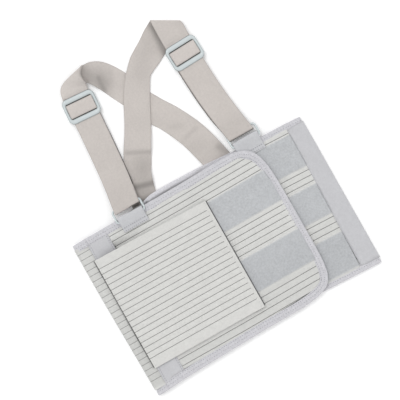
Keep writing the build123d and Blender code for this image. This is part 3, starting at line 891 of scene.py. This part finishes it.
BAND_PITCH = 7.64
BAND_RIBS = [65.2 - BAND_PITCH * k for k in range(18)]
BAND_TOP = 12.6
BAND_SEAM_X = -143.6            # row of stitches at the sewn end
BAND_HEM_X = 10.2               # row of stitches at the free end
band_keys = [77.3] + BAND_RIBS + [-78.3]


def band_warp(x, row):
    """The upper half narrows slightly towards the free end."""
    return -2.6 * (x + 146.0) / 159.0 * max(row + 20.0, 0.0) / 97.0


def band_top(x, y):
    """Upper face of the band: sewn down at the left, a little slack towards its top edge."""
    slack = ease((x + 141) / 18.0) * ease((-45.0 - x) / 55.0) * ease((y - 35.0) / 42.0)
    seam = exp(-((x - BAND_SEAM_X) / 0.8) ** 2) + exp(-((x - BAND_HEM_X) / 0.6) ** 2)
    free = 1.5 * ease((x + 12.0) / 22.0)
    return BAND_TOP + undulation(x, y + 300.0, 0.2) + 3.6 * slack + free - 0.105 * seam


band_cloth = ribbed_cloth("band elastic", (0.745, 0.742, 0.72), (0.13, 0.13, 0.125), 0.5)
band_mesh = ribbed_sheet(sampled((-146.0, 8.8, 8.9, 13.0), 2.2), band_keys, BAND_RIBS, band_warp, band_top,
                         plain=lambda x, row: x > 8.85)
band = make_piece(band_mesh, "tension_band_cloth", band_cloth, 1.5, (0, 0, 1), 0.35)
LIFT = ((-0.146, 0, 0.0126), (-0.128, 0, 0.0126))
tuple(LIFT[0])
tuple(LIFT[1])
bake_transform(band)
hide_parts("tension_band")



def painted_shadow_border(x, y, z):
    """Painted shadow: the tape's border is painted dark where it peeps out beside the free end of the band.
    """
    return 0.66 * ease((x - 12.2) / 0.6)


band_hook_cloth = paint_shade(hook_patch(-34, 14.2, -78.0, 74.3, 10.55, 1.5), painted_shadow_border)
band_hooks = make_piece(band_hook_cloth, "band_hook_tape", hook_tape, 0.5, (0, 0, -1))
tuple(LIFT[0])
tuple(LIFT[1])
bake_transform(band_hooks)
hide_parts("band_hook_patch")

pale_thread = plain_cloth("pale thread", (0.56, 0.56, 0.55))
band_rows = []
for sewn_x in (BAND_SEAM_X, BAND_HEM_X):
    for k in range(50):
        row = 74.5 - 3.06 * k
        y = row + band_warp(sewn_x, row)
        band_rows.append((Vector((sewn_x, y, band_top(sewn_x, y))), Vector((0, 2.1, 0)), Vector((0, 0, 1))))
band_sewing = stitches(band_rows, "tension_band_sewing", pale_thread, 0.5, 0.2)
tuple(LIFT[0])
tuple(LIFT[1])
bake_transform(band_sewing)


# ---- Ring tabs ----------------------------------------------------------------------------
# A short piece of webbing doubled round the ring's bar and sewn down over the top binding.

HALF_WEBBING = 17.5


def webbing_material(name, ground, deep):
    """Flat webbing: fine crosswise ribs, a faint lengthwise grain and slightly darker selvedges."""
    material, tree, shader = new_fabric(name, 0.88)
    along, across = cloth_axes(tree)[:2]
    ribs = wave(tree, along, 1.1)
    grain = wave(tree, across, 0.9)
    weave = calc(tree, "MULTIPLY", ribs, grain)
    tone = calc(tree, "MULTIPLY_ADD", mottle(tree, 28.0, 2.0), 0.14, 0.84)
    tone = calc(tree, "MULTIPLY_ADD", weave, 0.03, tone)
    tone = calc(tree, "MULTIPLY_ADD", mottle(tree, 420.0, 3.0), 0.20, tone)
    body = mixed(tree, 1.0, ground, tone, "MULTIPLY")
    selvedge = ramp(tree, calc(tree, "ABSOLUTE", across), HALF_WEBBING - 1.3, HALF_WEBBING - 0.2)
    body = mixed(tree, calc(tree, "MULTIPLY", selvedge, 0.5), body, deep)
    feed(tree, shader.inputs["Base Color"], with_painted_shade(tree, body))
    relief(tree, shader, weave, 0.12)
    return material


def webbing(stations, name, material, thickness, flip=True, depth=None):
    """Webbing from pairs of points on its two edges, thickness inwards from the face they describe.
    A third triple of a station bows the webbing between its edges."""
    across_steps = 10
    runs = [0.0]
    for p, q in zip(stations, stations[1:]):
        middle = [((q[c] + q[c + 3]) - (p[c] + p[c + 3])) / 2 for c in range(3)]
        runs.append(runs[-1] + Vector(middle).length)

    def place(i, j):
        left, right = Vector(stations[i][:3]), Vector(stations[i][3:6])
        t = j / across_steps
        spot = left.lerp(right, t)
        if len(stations[i]) > 6:
            spot += Vector(stations[i][6:9]) * 4 * t * (1 - t)
        return spot, (runs[i], HALF_WEBBING * (2 * t - 1), 0.0)

    cloth = shaped_grid(len(stations) - 1, across_steps, place)
    # Painted shade, when given: depth(x, y, z) darkens the webbing point by point.
    if depth:
        paint_shade(cloth, depth)
    cloth.normal_update()
    if flip:
        bmesh.ops.reverse_faces(cloth, faces=cloth.faces)
    piece = make_piece(cloth, name, material, thickness, None, 0.25)
    piece["run"] = runs[-1]
    return piece


def painted_shade_lines(*lines):
    """Painted shade along creases and shaded strips: each goes from one point to another in plan, so wide and
    so deep.
    """

    def depth(x, y, z):
        deepest = 0.0
        for (ax, ay), (bx, by), width, most in lines:
            t = ((x - ax) * (bx - ax) + (y - ay) * (by - ay)) / ((bx - ax) ** 2 + (by - ay) ** 2)
            t = min(max(t, 0.0), 1.0)
            away = (x - ax - (bx - ax) * t) ** 2 + (y - ay - (by - ay) * t) ** 2
            deepest = max(deepest, most * exp(-away / width ** 2))
        return deepest

    return depth


TURN_RADIUS = 2.5               # outer face of webbing that turns round a ring bar
LEFT_BAR = (-77.5, 103.0, 12.3)
RIGHT_BAR = (95.5, 114.4, 9.1)
LEFT_TAB_FOLD = 110.2
RIGHT_TAB_FOLD = 121.0


def tab_stations(bar, base_y, fold_y, low, gap, lean=0.0):
    """Tab in side view, as the outer face of its webbing: under the ring bar, round it and back."""
    top = bar[2] + TURN_RADIUS
    bottom = bar[2] - TURN_RADIUS
    turn = fold_y - TURN_RADIUS
    side = [(base_y, low), (turn - 5.0, low + 0.1 * (bottom - low)), (turn, bottom)]
    side += [(turn + TURN_RADIUS * sin(pi * k / 10), bottom + TURN_RADIUS * (1 - cos(pi * k / 10)))
             for k in range(1, 11)]
    side += [(bar[1] + 1.0, top - 0.3), (bar[1] - 8.0, low + gap + 0.5), (bar[1] - 11.0, low + gap),
             (base_y, low + gap)]
    stations = []
    for y, z in side:
        middle = bar[0] + lean * (y - fold_y)
        stations.append((middle - HALF_WEBBING, y, z, middle + HALF_WEBBING, y, z))
    return stations


def left_tab_fold(x, y, z):
    """Painted shade where the tab turns over, deeper towards the ring's inner side."""
    return 0.7 * ease((y - LEFT_TAB_FOLD + 2.0) / 1.8) * ease((x + 82.0) / 7.0)


def right_tab_fold(x, y, z):
    """A little painted shade where the tab turns over."""
    return 0.3 * ease((y - RIGHT_TAB_FOLD + 2.0) / 1.8)


tab_cloth = webbing_material("tab webbing", (0.60, 0.605, 0.625), (0.50, 0.50, 0.53))
left_tab_line = tab_stations(LEFT_BAR, 89.0, LEFT_TAB_FOLD, 9.95, 1.2)
left_tab = webbing(resampled(left_tab_line, 0.8), "left_ring_tab_webbing", tab_cloth, 0.6,
                   flip=False, depth=left_tab_fold)
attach(left_tab, "root")
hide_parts("left_ring_tab")
right_tab_line = tab_stations(RIGHT_BAR, 96.0, RIGHT_TAB_FOLD, 6.8, 1.1, -0.02)
right_tab = webbing(resampled(right_tab_line, 0.8), "right_ring_tab_webbing", tab_cloth, 0.6,
                    flip=False, depth=right_tab_fold)
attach(right_tab, "root")
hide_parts("right_ring_tab")


def stitch_line(start, end, pitch, length):
    """Places of stitches along a straight row."""
    start, end = Vector(start), Vector(end)
    count = int((end - start).length / pitch)
    ahead = (end - start).normalized()
    return [(start + ahead * pitch * (k + 0.5), ahead * length, Vector((0, 0, 1))) for k in range(count)]


tab_rows = []
for bar, base_y, level_z in ((LEFT_BAR, 89.0, 11.35), (RIGHT_BAR, 96.0, 8.1)):
    for up_tab, rise in ((1.7, 0.0), (5.6, 0.55)):
        y, z = base_y + up_tab, level_z + rise
        tab_rows += stitch_line((bar[0] - 16.0, y, z), (bar[0] + 16.0, y, z), 2.9, 1.7)
tab_sewing = stitches(tab_rows, "ring_tab_sewing", thread, 0.9, 0.35)
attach(tab_sewing, "root")


# ---- Rings --------------------------------------------------------------------------------
# Rectangular rings of pale blue-grey coated wire with rounded corners; they tilt about the bar
# that lies in the tab.

pale_metal = bpy.data.materials.new("pale hardware")
pale_metal.use_nodes = True
tree = pale_metal.node_tree
shader = tree.nodes["Principled BSDF"]
shader.inputs["Roughness"].default_value = 0.34
shader.inputs["Specular IOR Level"].default_value = 0.5
shader.inputs["Coat Weight"].default_value = 0.25
pale_blue = mixed(tree, mottle(tree, 120.0), (0.52, 0.575, 0.585), (0.585, 0.635, 0.645))
feed(tree, shader.inputs["Base Color"], with_painted_shade(tree, pale_blue))
relief(tree, shader, mottle(tree, 1500.0), 0.03)


def rounded_loop(half_w, half_h, radius, steps=6):
    """Points round a rectangle with rounded corners, closed."""
    loop = []
    for cx, cy, start in ((1, 1, 0.0), (-1, 1, 0.5), (-1, -1, 1.0), (1, -1, 1.5)):
        for k in range(steps + 1):
            angle = pi * (start + 0.5 * k / steps)
            loop.append((cx * (half_w - radius) + radius * cos(angle),
                         cy * (half_h - radius) + radius * sin(angle)))
    return loop + [loop[0]]


def close_up(mesh):
    """Join the ends of a grid that runs round on itself, and turn its faces outwards."""
    bmesh.ops.remove_doubles(mesh, verts=mesh.verts, dist=1e-7)
    bmesh.ops.recalc_face_normals(mesh, faces=mesh.faces)


def wire_ring(bar, tilt, name):
    """Rectangular wire ring whose lower bar lies in the tab."""
    half_width, half_height, wire = 19.6, 8.35, 1.4
    steps = 14
    loop = rounded_loop(half_width, half_height, 3.4)
    tilt = radians(tilt)

    def place(i, j):
        x, y = loop[i]
        before, after = loop[i - 1 if i else -2], loop[i + 1 if i < len(loop) - 1 else 1]
        out = Vector((after[1] - before[1], before[0] - after[0])).normalized()
        angle = 2 * pi * j / steps
        px = x + out.x * wire * cos(angle)
        py = y + out.y * wire * cos(angle) + half_height
        pz = wire * sin(angle)
        spot = (bar[0] + px, bar[1] + py * cos(tilt) - pz * sin(tilt),
                bar[2] + py * sin(tilt) + pz * cos(tilt))
        return spot, (i * 2.0, j * 0.63, 0.0)

    mesh = shaped_grid(len(loop) - 1, steps, place)
    close_up(mesh)
    return make_piece(mesh, name, pale_metal)


LEFT_TILT = -10.0
RIGHT_TILT = -12.0
left_ring = wire_ring(LEFT_BAR, LEFT_TILT, "left_ring_wire")
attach(left_ring, "left_ring")
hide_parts("left_ring")
right_ring = wire_ring(RIGHT_BAR, RIGHT_TILT, "right_ring_wire")
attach(right_ring, "right_ring")
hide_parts("right_ring")


# ---- Left shoulder strap, front run -------------------------------------------------------
# Webbing that comes down through the slider, turns round the ring's upper bar and runs back up
# underneath to the slider.

STRAP_THICKNESS = 1.1
RUN_LEVEL = 5.6                 # upper face of a front run away from its ring
strap_cloth = webbing_material("strap webbing", (0.605, 0.562, 0.532), (0.45, 0.415, 0.395))


def front_stations(bar, tilt, fold_distance, centre_x, lean, level_y, top_y, return_y, skew):
    """Outer face of a front run from its hidden end, down, round the ring bar and up to the slider."""
    tilt = radians(tilt)
    turn = fold_distance + TURN_RADIUS
    under_level = 1.5

    def out(distance, height):
        """A point so far out from the tab's bar in the plane of the ring, and so high over that plane."""
        return (bar[1] + distance * cos(tilt) - height * sin(tilt),
                bar[2] + distance * sin(tilt) + height * cos(tilt))

    side = [(return_y, under_level), (level_y, under_level), out(23.0, -TURN_RADIUS), out(turn, -TURN_RADIUS)]
    side += [out(turn - TURN_RADIUS * sin(pi * k / 10), -TURN_RADIUS * cos(pi * k / 10))
             for k in range(1, 10)]
    side += [out(turn, TURN_RADIUS), out(23.0, TURN_RADIUS), (level_y, RUN_LEVEL), (top_y, RUN_LEVEL)]
    side = resampled(side, 1.2)
    fold_at = min(range(len(side)), key=lambda k: side[k][0])
    stations = []
    for k, (y, z) in enumerate(side):
        turned = radians(lean) * ease((y - bar[1] - 12.0) / 22.0)
        x = centre_x(y) + (skew * ease((y - bar[1] - 25.0) / 25.0) if k < fold_at else 0.0)
        dx, dy = HALF_WEBBING * cos(turned), HALF_WEBBING * sin(turned)
        stations.append((x - dx, y + dy, z, x + dx, y - dy, z))
    return stations


def through(points):
    """Smooth curve through (y, x) points, as a function of y."""

    def value(y):
        k = 0
        while k < len(points) - 2 and points[k + 1][0] < y:
            k += 1
        (y0, x0), (y1, x1) = points[k], points[k + 1]
        before = points[k - 1] if k else (2 * y0 - y1, 2 * x0 - x1)
        after = points[k + 2] if k + 2 < len(points) else (2 * y1 - y0, 2 * x1 - x0)
        m0 = (x1 - before[1]) / (y1 - before[0]) * (y1 - y0)
        m1 = (after[1] - x0) / (after[0] - y0) * (y1 - y0)
        t = (y - y0) / (y1 - y0)
        return ((2 * t ** 3 - 3 * t ** 2 + 1) * x0 + (t ** 3 - 2 * t ** 2 + t) * m0
                + (-2 * t ** 3 + 3 * t ** 2) * x1 + (t ** 3 - t ** 2) * m1)

    return value


def underneath(open_to, fold_y):
    """Painted shade of the returning layer and of the strap's lower fold, a little more towards the lower
    end;
    beside the ring, light comes in from the left as far as open_to, so less is painted there."""

    def depth(x, y, z):
        if y < fold_y + 2.0 and z > 4.6:
            return 0.75 * ease((fold_y + 1.5 - y) / 1.0) * ease((x - open_to) / 8.0)
        beside_ring = ease((158.0 - y) / 16.0)
        shade = 0.55 + beside_ring * (0.85 * ease((x - open_to) / 8.0) - 0.45)
        return shade * ease((4.6 - z) / 0.6) + 0.06 * ease((172.0 - y) / 40.0)

    return depth


left_centre = through([(100, -78.0), (118, -76.9), (150, -72.6), (195, -68.6), (230, -66.1), (255, -64.6),
                       (280, -63.6)])
LEFT_SKEW = 0.8                 # how far the returning layer lies to the right of the upper one
left_stations = front_stations(LEFT_BAR, LEFT_TILT, 11.2, left_centre, 5.5, 164.0, 272.0, 211.0, LEFT_SKEW)
left_run = webbing(left_stations, "left_strap_front_run", strap_cloth, STRAP_THICKNESS,
                   depth=underneath(-79.0, 114.0))
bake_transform(left_run)
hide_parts("left_strap_front", "left_strap_return", "left_strap_ring_turn")


# ---- Left shoulder strap, shoulder and rear run -------------------------------------------
# Above the slider the strap rolls over to the right, dips to the table and runs down behind the
# belt, under the other strap.

def paired(keys, step, passes):
    """Stations of a strap from key pairs of points on its edges, evenly spaced and eased."""
    return softened(resampled(keys, step), passes)


left_rear_keys = [
    (*left_stations[-1], 0, 0, 0),
    (-80.9, 276, 5.6, -45.9, 272.8, 5.6, 0, 0, 0.1), (-79.6, 283, 6.2, -45.5, 276, 5.8, 0, 0, 0.5),
    (-75.8, 289, 7.4, -45.1, 277.6, 7.0, 0, 0, 1.2), (-69, 292.7, 8.2, -44.8, 278.3, 7.6, -0.5, 0, 1.8),
    (-60, 295.2, 9.0, -44.6, 278.7, 8.0, -1.5, 0.3, 2.4),
    (-51, 297.4, 9.4, -44.4, 278.9, 8.2, -2.8, 0.6, 2.6),
    (-44.6, 298.9, 9.0, -44.3, 279.1, 8.1, -3.6, 0.8, 2.3),
    (-40.6, 299.8, 8.2, -44.2, 279.2, 7.8, -4.1, 0.8, 1.7),
    (-38.4, 300.2, 7.0, -44.0, 279.3, 7.0, -4.3, 0.8, 0.7),
    (-37.8, 300.3, 5.6, -43.9, 279.2, 5.6, -4.4, 0.8, 0),
    (-38.0, 300.4, 3.6, -44.0, 279.0, 3.2, -4.6, 0.8, -0.4),
    (-35.6, 300.6, 2.6, -43.2, 278.3, 2.4, -4.0, 0.6, 0),
    (-29.6, 300.4, 3.4, -41.5, 276.0, 3.6, -2.8, 0.3, 1.0),
    (-23, 298.0, 3.8, -39.6, 273.0, 4.8, -1.6, 0, 1.4),
    (-17, 294.6, 3.4, -37.6, 270.0, 5.2, -0.8, 0, 1.2), (-12, 290.5, 2.4, -35.3, 266.4, 4.0, 0, 0, 0.5),
    (-7.5, 285.5, 1.5, -32.8, 262.2, 1.8, 0, 0, 0), (-2.5, 278.5, 1.2, -29.6, 255.5, 1.2, 0, 0, 0),
    (2, 271, 1.2, -25.2, 246, 1.2, 0, 0, 0), (7, 262, 1.2, -18.8, 233.6, 1.2, 0, 0, 0),
    (13, 249, 1.2, -13, 222.5, 1.2, 0, 0, 0), (20, 229, 1.2, -6.5, 208, 1.2, 0, 0, 0),
    (30, 212, 1.2, 1, 193, 1.2, 0, 0, 0), (40, 197, 1.2, 8.8, 181.5, 1.2, 0, 0, 0),
    (48.3, 181.5, 1.3, 15.2, 169, 1.6, 0, 0, 0), (54.5, 168.5, 1.6, 20.6, 157, 3.6, 0, 0, 0.4),
    (58.5, 158.5, 1.4, 23.8, 149, 2.2, 0, 0, 0), (62.5, 146, 1.6, 27.0, 138, 1.8, 0, 0, 0.4),
    (66, 132, 3.6, 30.6, 124.5, 2.6, 0, 0, 0.6), (69.3, 118, 2.4, 34, 111.5, 1.8, 0, 0, 0),
    (71.2, 108, 1.25, 36, 104.5, 1.25, 0, 0, 0), (72.6, 99.7, 1.2, 37.6, 99.7, 1.2, 0, 0, 0)]
left_strap_painted_shade = painted_shade_lines(((-41, 291), (-26, 267), 12.0, 0.28), ((-28.4, 277), (-29.2, 259), 5.0, 0.38),
                       ((-12, 276), (-18, 262), 5.0, 0.10), ((30, 156), (48, 160.5), 3.0, 0.09),
                       ((21, 178), (33, 172), 4.0, 0.07), ((45, 104), (64, 112), 7.0, 0.22),
                       ((62, 126), (70, 112), 5.5, 0.3), ((36, 140), (60, 128), 12.0, 0.08))


def loop_shade(x, y, z):
    """Painted shade along creases on the run behind the roll of the loop; the run before it is painted a
    touch lighter, as if in full light.
    """
    roll = -46.0 + 0.58 * max(0.0, y - 286.0)
    if z < 5.0 or x > roll:
        return left_strap_painted_shade(x, y, z)
    return -0.08 * ease((y - 272.0) / 8.0)


left_rear = webbing(paired(left_rear_keys, 2.4, 1), "left_strap_rear_run", strap_cloth,
                    STRAP_THICKNESS, depth=loop_shade)
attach(left_rear, "root")
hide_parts("left_strap_shoulder", "left_strap_rear")


# ---- Right shoulder strap, front run ------------------------------------------------------
# The other front run, the same as the left one.

right_centre = through([(110, 96.2), (130, 93.1), (150, 89.9), (180, 86.0), (205, 83.8), (230, 82.5),
                        (268, 81.6)])
RIGHT_SKEW = -1.4
right_stations = front_stations(RIGHT_BAR, RIGHT_TILT, 9.3, right_centre, -3.0, 164.0, 269.5, 206.0,
                                RIGHT_SKEW)
right_run = webbing(right_stations, "right_strap_front_run", strap_cloth, STRAP_THICKNESS,
                    depth=underneath(60.0, 123.5))
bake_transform(right_run)
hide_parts("right_strap_front", "right_strap_return", "right_strap_ring_turn")


# ---- Right shoulder strap, shoulder and rear run ------------------------------------------
# Above the slider the strap is folded flat along a slanting crease and runs down behind the belt,
# over the left strap.

right_rear_keys = [
    right_stations[-1], (64.0, 272.0, 5.6, 99.1, 273.0, 5.6), (64.0, 285, 6.3, 99.3, 280, 5.9),
    (64.2, 301, 6.8, 98.9, 285.6, 6.2), (64.5, 306.6, 6.3, 98.4, 287.6, 5.9),
    (64.7, 308.2, 5.0, 98.3, 289.1, 4.8), (64.8, 308.6, 3.2, 98.3, 289.5, 3.0),
    (64.7, 308.2, 1.2, 98.2, 289.1, 1.2), (63.5, 307.3, 0.1, 97.0, 288.4, 0.1),
    (52, 300.9, 0, 78, 275.2, 0), (40, 292.4, 0, 61, 262.4, 0), (28, 285, 0.6, 48.5, 255.3, 0.6),
    (19.5, 279.4, 1.3, 39, 251.2, 1.3), (12, 272, 1.5, 31.2, 247.2, 1.5), (5, 264.5, 1.5, 28.2, 243.2, 1.5),
    (-5, 251.5, 1.5, 23.5, 235, 1.5), (-12, 240.5, 1.5, 19.4, 228, 1.5), (-18, 230, 1.5, 14, 218, 1.5),
    (-28, 210, 1.5, 3.4, 197.5, 1.5), (-36, 196, 1.7, -3.5, 183.5, 2.2), (-42.5, 186, 1.6, -9.2, 174.5, 4.4),
    (-48, 177, 1.0, -14, 165.5, 3.2), (-53, 168, 0.5, -18.7, 157, 0.9), (-58, 158, 0.2, -24, 147.5, 0.5),
    (-61.5, 148, 0, -28, 141, 2.6), (-64.5, 139, 0, -30.8, 133, 4.2), (-67, 131, 0, -33, 125.5, 2.6),
    (-69.2, 124, 0, -34.8, 118.5, 0.5), (-71.5, 113, 0, -36.8, 110, 0), (-74.5, 99.7, 0, -39.5, 99.7, 0)]
right_strap_painted_shade = painted_shade_lines(((64, 303), (61, 262), 5.5, 0.36), ((47, 284), (20, 256), 12.0, 0.07),
                        ((-43, 176), (-17, 163), 3.4, 0.22), ((-64, 150), (-62, 112), 7.0, 0.36),
                        ((-60, 134), (-33, 127), 5.5, 0.46), ((-66, 112), (-42, 108), 10.0, 0.56),
                        ((-34, 150), (-48, 118), 15.0, 0.22))
# Painted shade on the rear run below the table-level height.
right_rear = webbing(paired(right_rear_keys, 2.0, 1), "right_strap_rear_run", strap_cloth,
                     STRAP_THICKNESS, depth=lambda x, y, z: right_strap_painted_shade(x, y, z) if z < 5.0 else 0.0)
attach(right_rear, "root")
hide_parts("right_strap_shoulder", "right_strap_rear_upper", "right_strap_rear_lower")


# ---- Stitching at the crossing ------------------------------------------------------------
# A diamond of stitching holds the two straps together where they cross.

cross_rows = []
cross_level = 2.62
corners = [(4.5, 258.5), (-13.5, 231), (1.5, 202), (19.0, 231)]
for a, b in zip(corners, corners[1:] + corners[:1]):
    cross_rows += stitch_line((*a, cross_level), (*b, cross_level), 2.8, 1.8)
cross_sewing = stitches(cross_rows, "crossing_sewing", strap_cloth, 0.4, 0.22)
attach(cross_sewing, "root")
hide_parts("crossing_stitching")


# ---- Sliders ------------------------------------------------------------------------------
# Three-bar sliders of pale moulded plastic: two broad bars over the strap, rounded and finely
# ridged, rails at the sides, and a middle bar underneath that carries the end of the webbing.

SLIDER_EDGE = 6.2               # height of the frame's edges over the table
SLIDER_UNDERSIDE = 5.95


def three_bar_slider(centre, lean, name):
    """Slider with its middle bar, turned to lie along its strap."""
    inner = rounded_loop(17.95, 10.3, 2.2, 5)
    outer = rounded_loop(21.4, 16.9, 6.5, 5)
    lean = radians(lean)
    top_steps = 18
    crown, ridge, ridge_count, side_bow = 1.6, 0.06, 5, 0.6

    def placed(x, y, z):
        return (centre[0] + x * cos(lean) - y * sin(lean), centre[1] + x * sin(lean) + y * cos(lean), z)

    def place(i, j):
        if j > top_steps:
            t, z = ((1.0, SLIDER_UNDERSIDE), (0.0, SLIDER_UNDERSIDE), (0.0, SLIDER_EDGE))[j - top_steps - 1]
        else:
            t = j / top_steps
            ridges = ridge * cos(2 * pi * ridge_count * t) * (1 - (2 * t - 1) ** 4)
            z = SLIDER_EDGE + crown * (1 - abs(2 * t - 1) ** 2.6) + ridges
        x = inner[i][0] + (outer[i][0] - inner[i][0]) * t
        y = inner[i][1] + (outer[i][1] - inner[i][1]) * t
        x += side_bow * (1 if x > 0 else -1) * t * ease((13.0 - abs(y)) / 12.0)
        return placed(x, y, z), (x, y, t)

    mesh = shaped_grid(len(inner) - 1, top_steps + 3, place)
    close_up(mesh)
    # Painted shade on the frame: its outer rim darker, most along the upper bar, and its edge at the window a
    # little darker; the middle of each broad bar a touch darker.
    painted_rim_shade = mesh.verts.layers.float.new("depth")
    pattern = mesh.verts.layers.float_vector["pattern"]
    for point in mesh.verts:
        x, y, t = point[pattern]
        outer_rim_shade = (0.85 if y > 8.0 else 0.5) * ease((t - 0.84) / 0.16)
        ridges = 0.07 * ease((14.0 - abs(x)) / 10.0) * ease((abs(y) - 10.0) / 1.5)
        point[painted_rim_shade] = max(outer_rim_shade, 0.14 * ease((0.12 - t) / 0.12), ridges)
    for x, y, z, size in ((-20.2, 0, 3.9, (3.4, 24.0, 4.8)), (20.2, 0, 3.9, (3.4, 24.0, 4.8)),
                          (0, 0, 2.2, (37.5, 4.4, 1.4))):
        turn = Matrix.Translation(Vector(placed(x, y, z)) * MM) @ Matrix.Rotation(lean, 4, "Z")
        stretch = Matrix.Diagonal((*(length * MM for length in size), 1.0))
        box = bmesh.ops.create_cube(mesh, size=1.0, matrix=turn @ stretch)
        edges = list({edge for vert in box["verts"] for edge in vert.link_edges})
        bmesh.ops.bevel(mesh, geom=edges, offset=0.5 * MM, segments=2, profile=0.5, affect="EDGES",
                        material=-1)
    return make_piece(mesh, name, pale_metal)


def laid_along(side, centre, lean, half_width, sideways=None):
    """Stations of webbing whose side view runs along a slider; away from
    it, the middle line goes over to sideways(y)."""
    lean = radians(lean)
    dx, dy = half_width * cos(lean), half_width * sin(lean)
    stations = []
    for along, z in side:
        x, y = centre[0] - along * sin(lean), centre[1] + along * cos(lean)
        if sideways:
            x += (sideways(y) - x) * ease((-8.0 - along) / 8.0)
        stations.append((x - dx, y - dy, z, x + dx, y + dy, z))
    return stations


def turn_stations(centre, lean, skew, strap_centre):
    """Outer face of the webbing sewn round a slider's middle bar, and its leg under the strap."""
    side = [(-14, 0.03), (2.5, 0.03)]
    side += [(2.5 + 2.0 * sin(pi * k / 8), 2.05 - 2.02 * cos(pi * k / 8)) for k in range(1, 9)]
    side += [(-48, 4.07)]
    return laid_along(resampled(side, 1.2), centre, lean, 17.4, lambda y: strap_centre(y) + skew)


def window_stations(centre, lean):
    """The stretch of strap that stands up over the middle bar, and dips under the bars at both ends."""
    rise = [(10.4, 5.72), (9.3, 5.74), (9.0, 6.3), (8.3, 7.1), (6.9, 7.6), (4.5, 7.9), (0, 8.1)]
    side = [(-along, z) for along, z in rise] + rise[-2::-1]
    return laid_along(resampled(side, 0.5), centre, lean, 17.8)


def in_slot(x, y, z):
    """Painted shade: the strap is dark where it dips between the bars, and painted a touch lighter elsewhere.
    """
    return 0.97 * ease((6.25 - z) / 0.3) - 0.05


def under_strap(x, y, z):
    """Painted shade: the sewn end is painted darker all over, as if in the shade of the strap."""
    return 0.55


for side_name, centre, lean, skew, strap_centre in (("left", (-64.9, 255.0), -3.9, LEFT_SKEW, left_centre),
                                                    ("right", (82.7, 250.0), 2.5, RIGHT_SKEW, right_centre)):
    slider = three_bar_slider(centre, lean, f"{side_name}_three_bar_slider")
    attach(slider, f"{side_name}_slider")
    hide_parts(f"{side_name}_slider_frame")
    turn = webbing(turn_stations(centre, lean, skew, strap_centre), f"{side_name}_slider_webbing",
                   strap_cloth, 0.9, flip=False, depth=under_strap)
    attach(turn, f"{side_name}_slider")
    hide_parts(f"{side_name}_slider_strap_turn")
    hump = webbing(window_stations(centre, lean), f"{side_name}_strap_in_slider", strap_cloth,
                   0.9, depth=in_slot)
    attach(hump, f"{side_name}_slider")
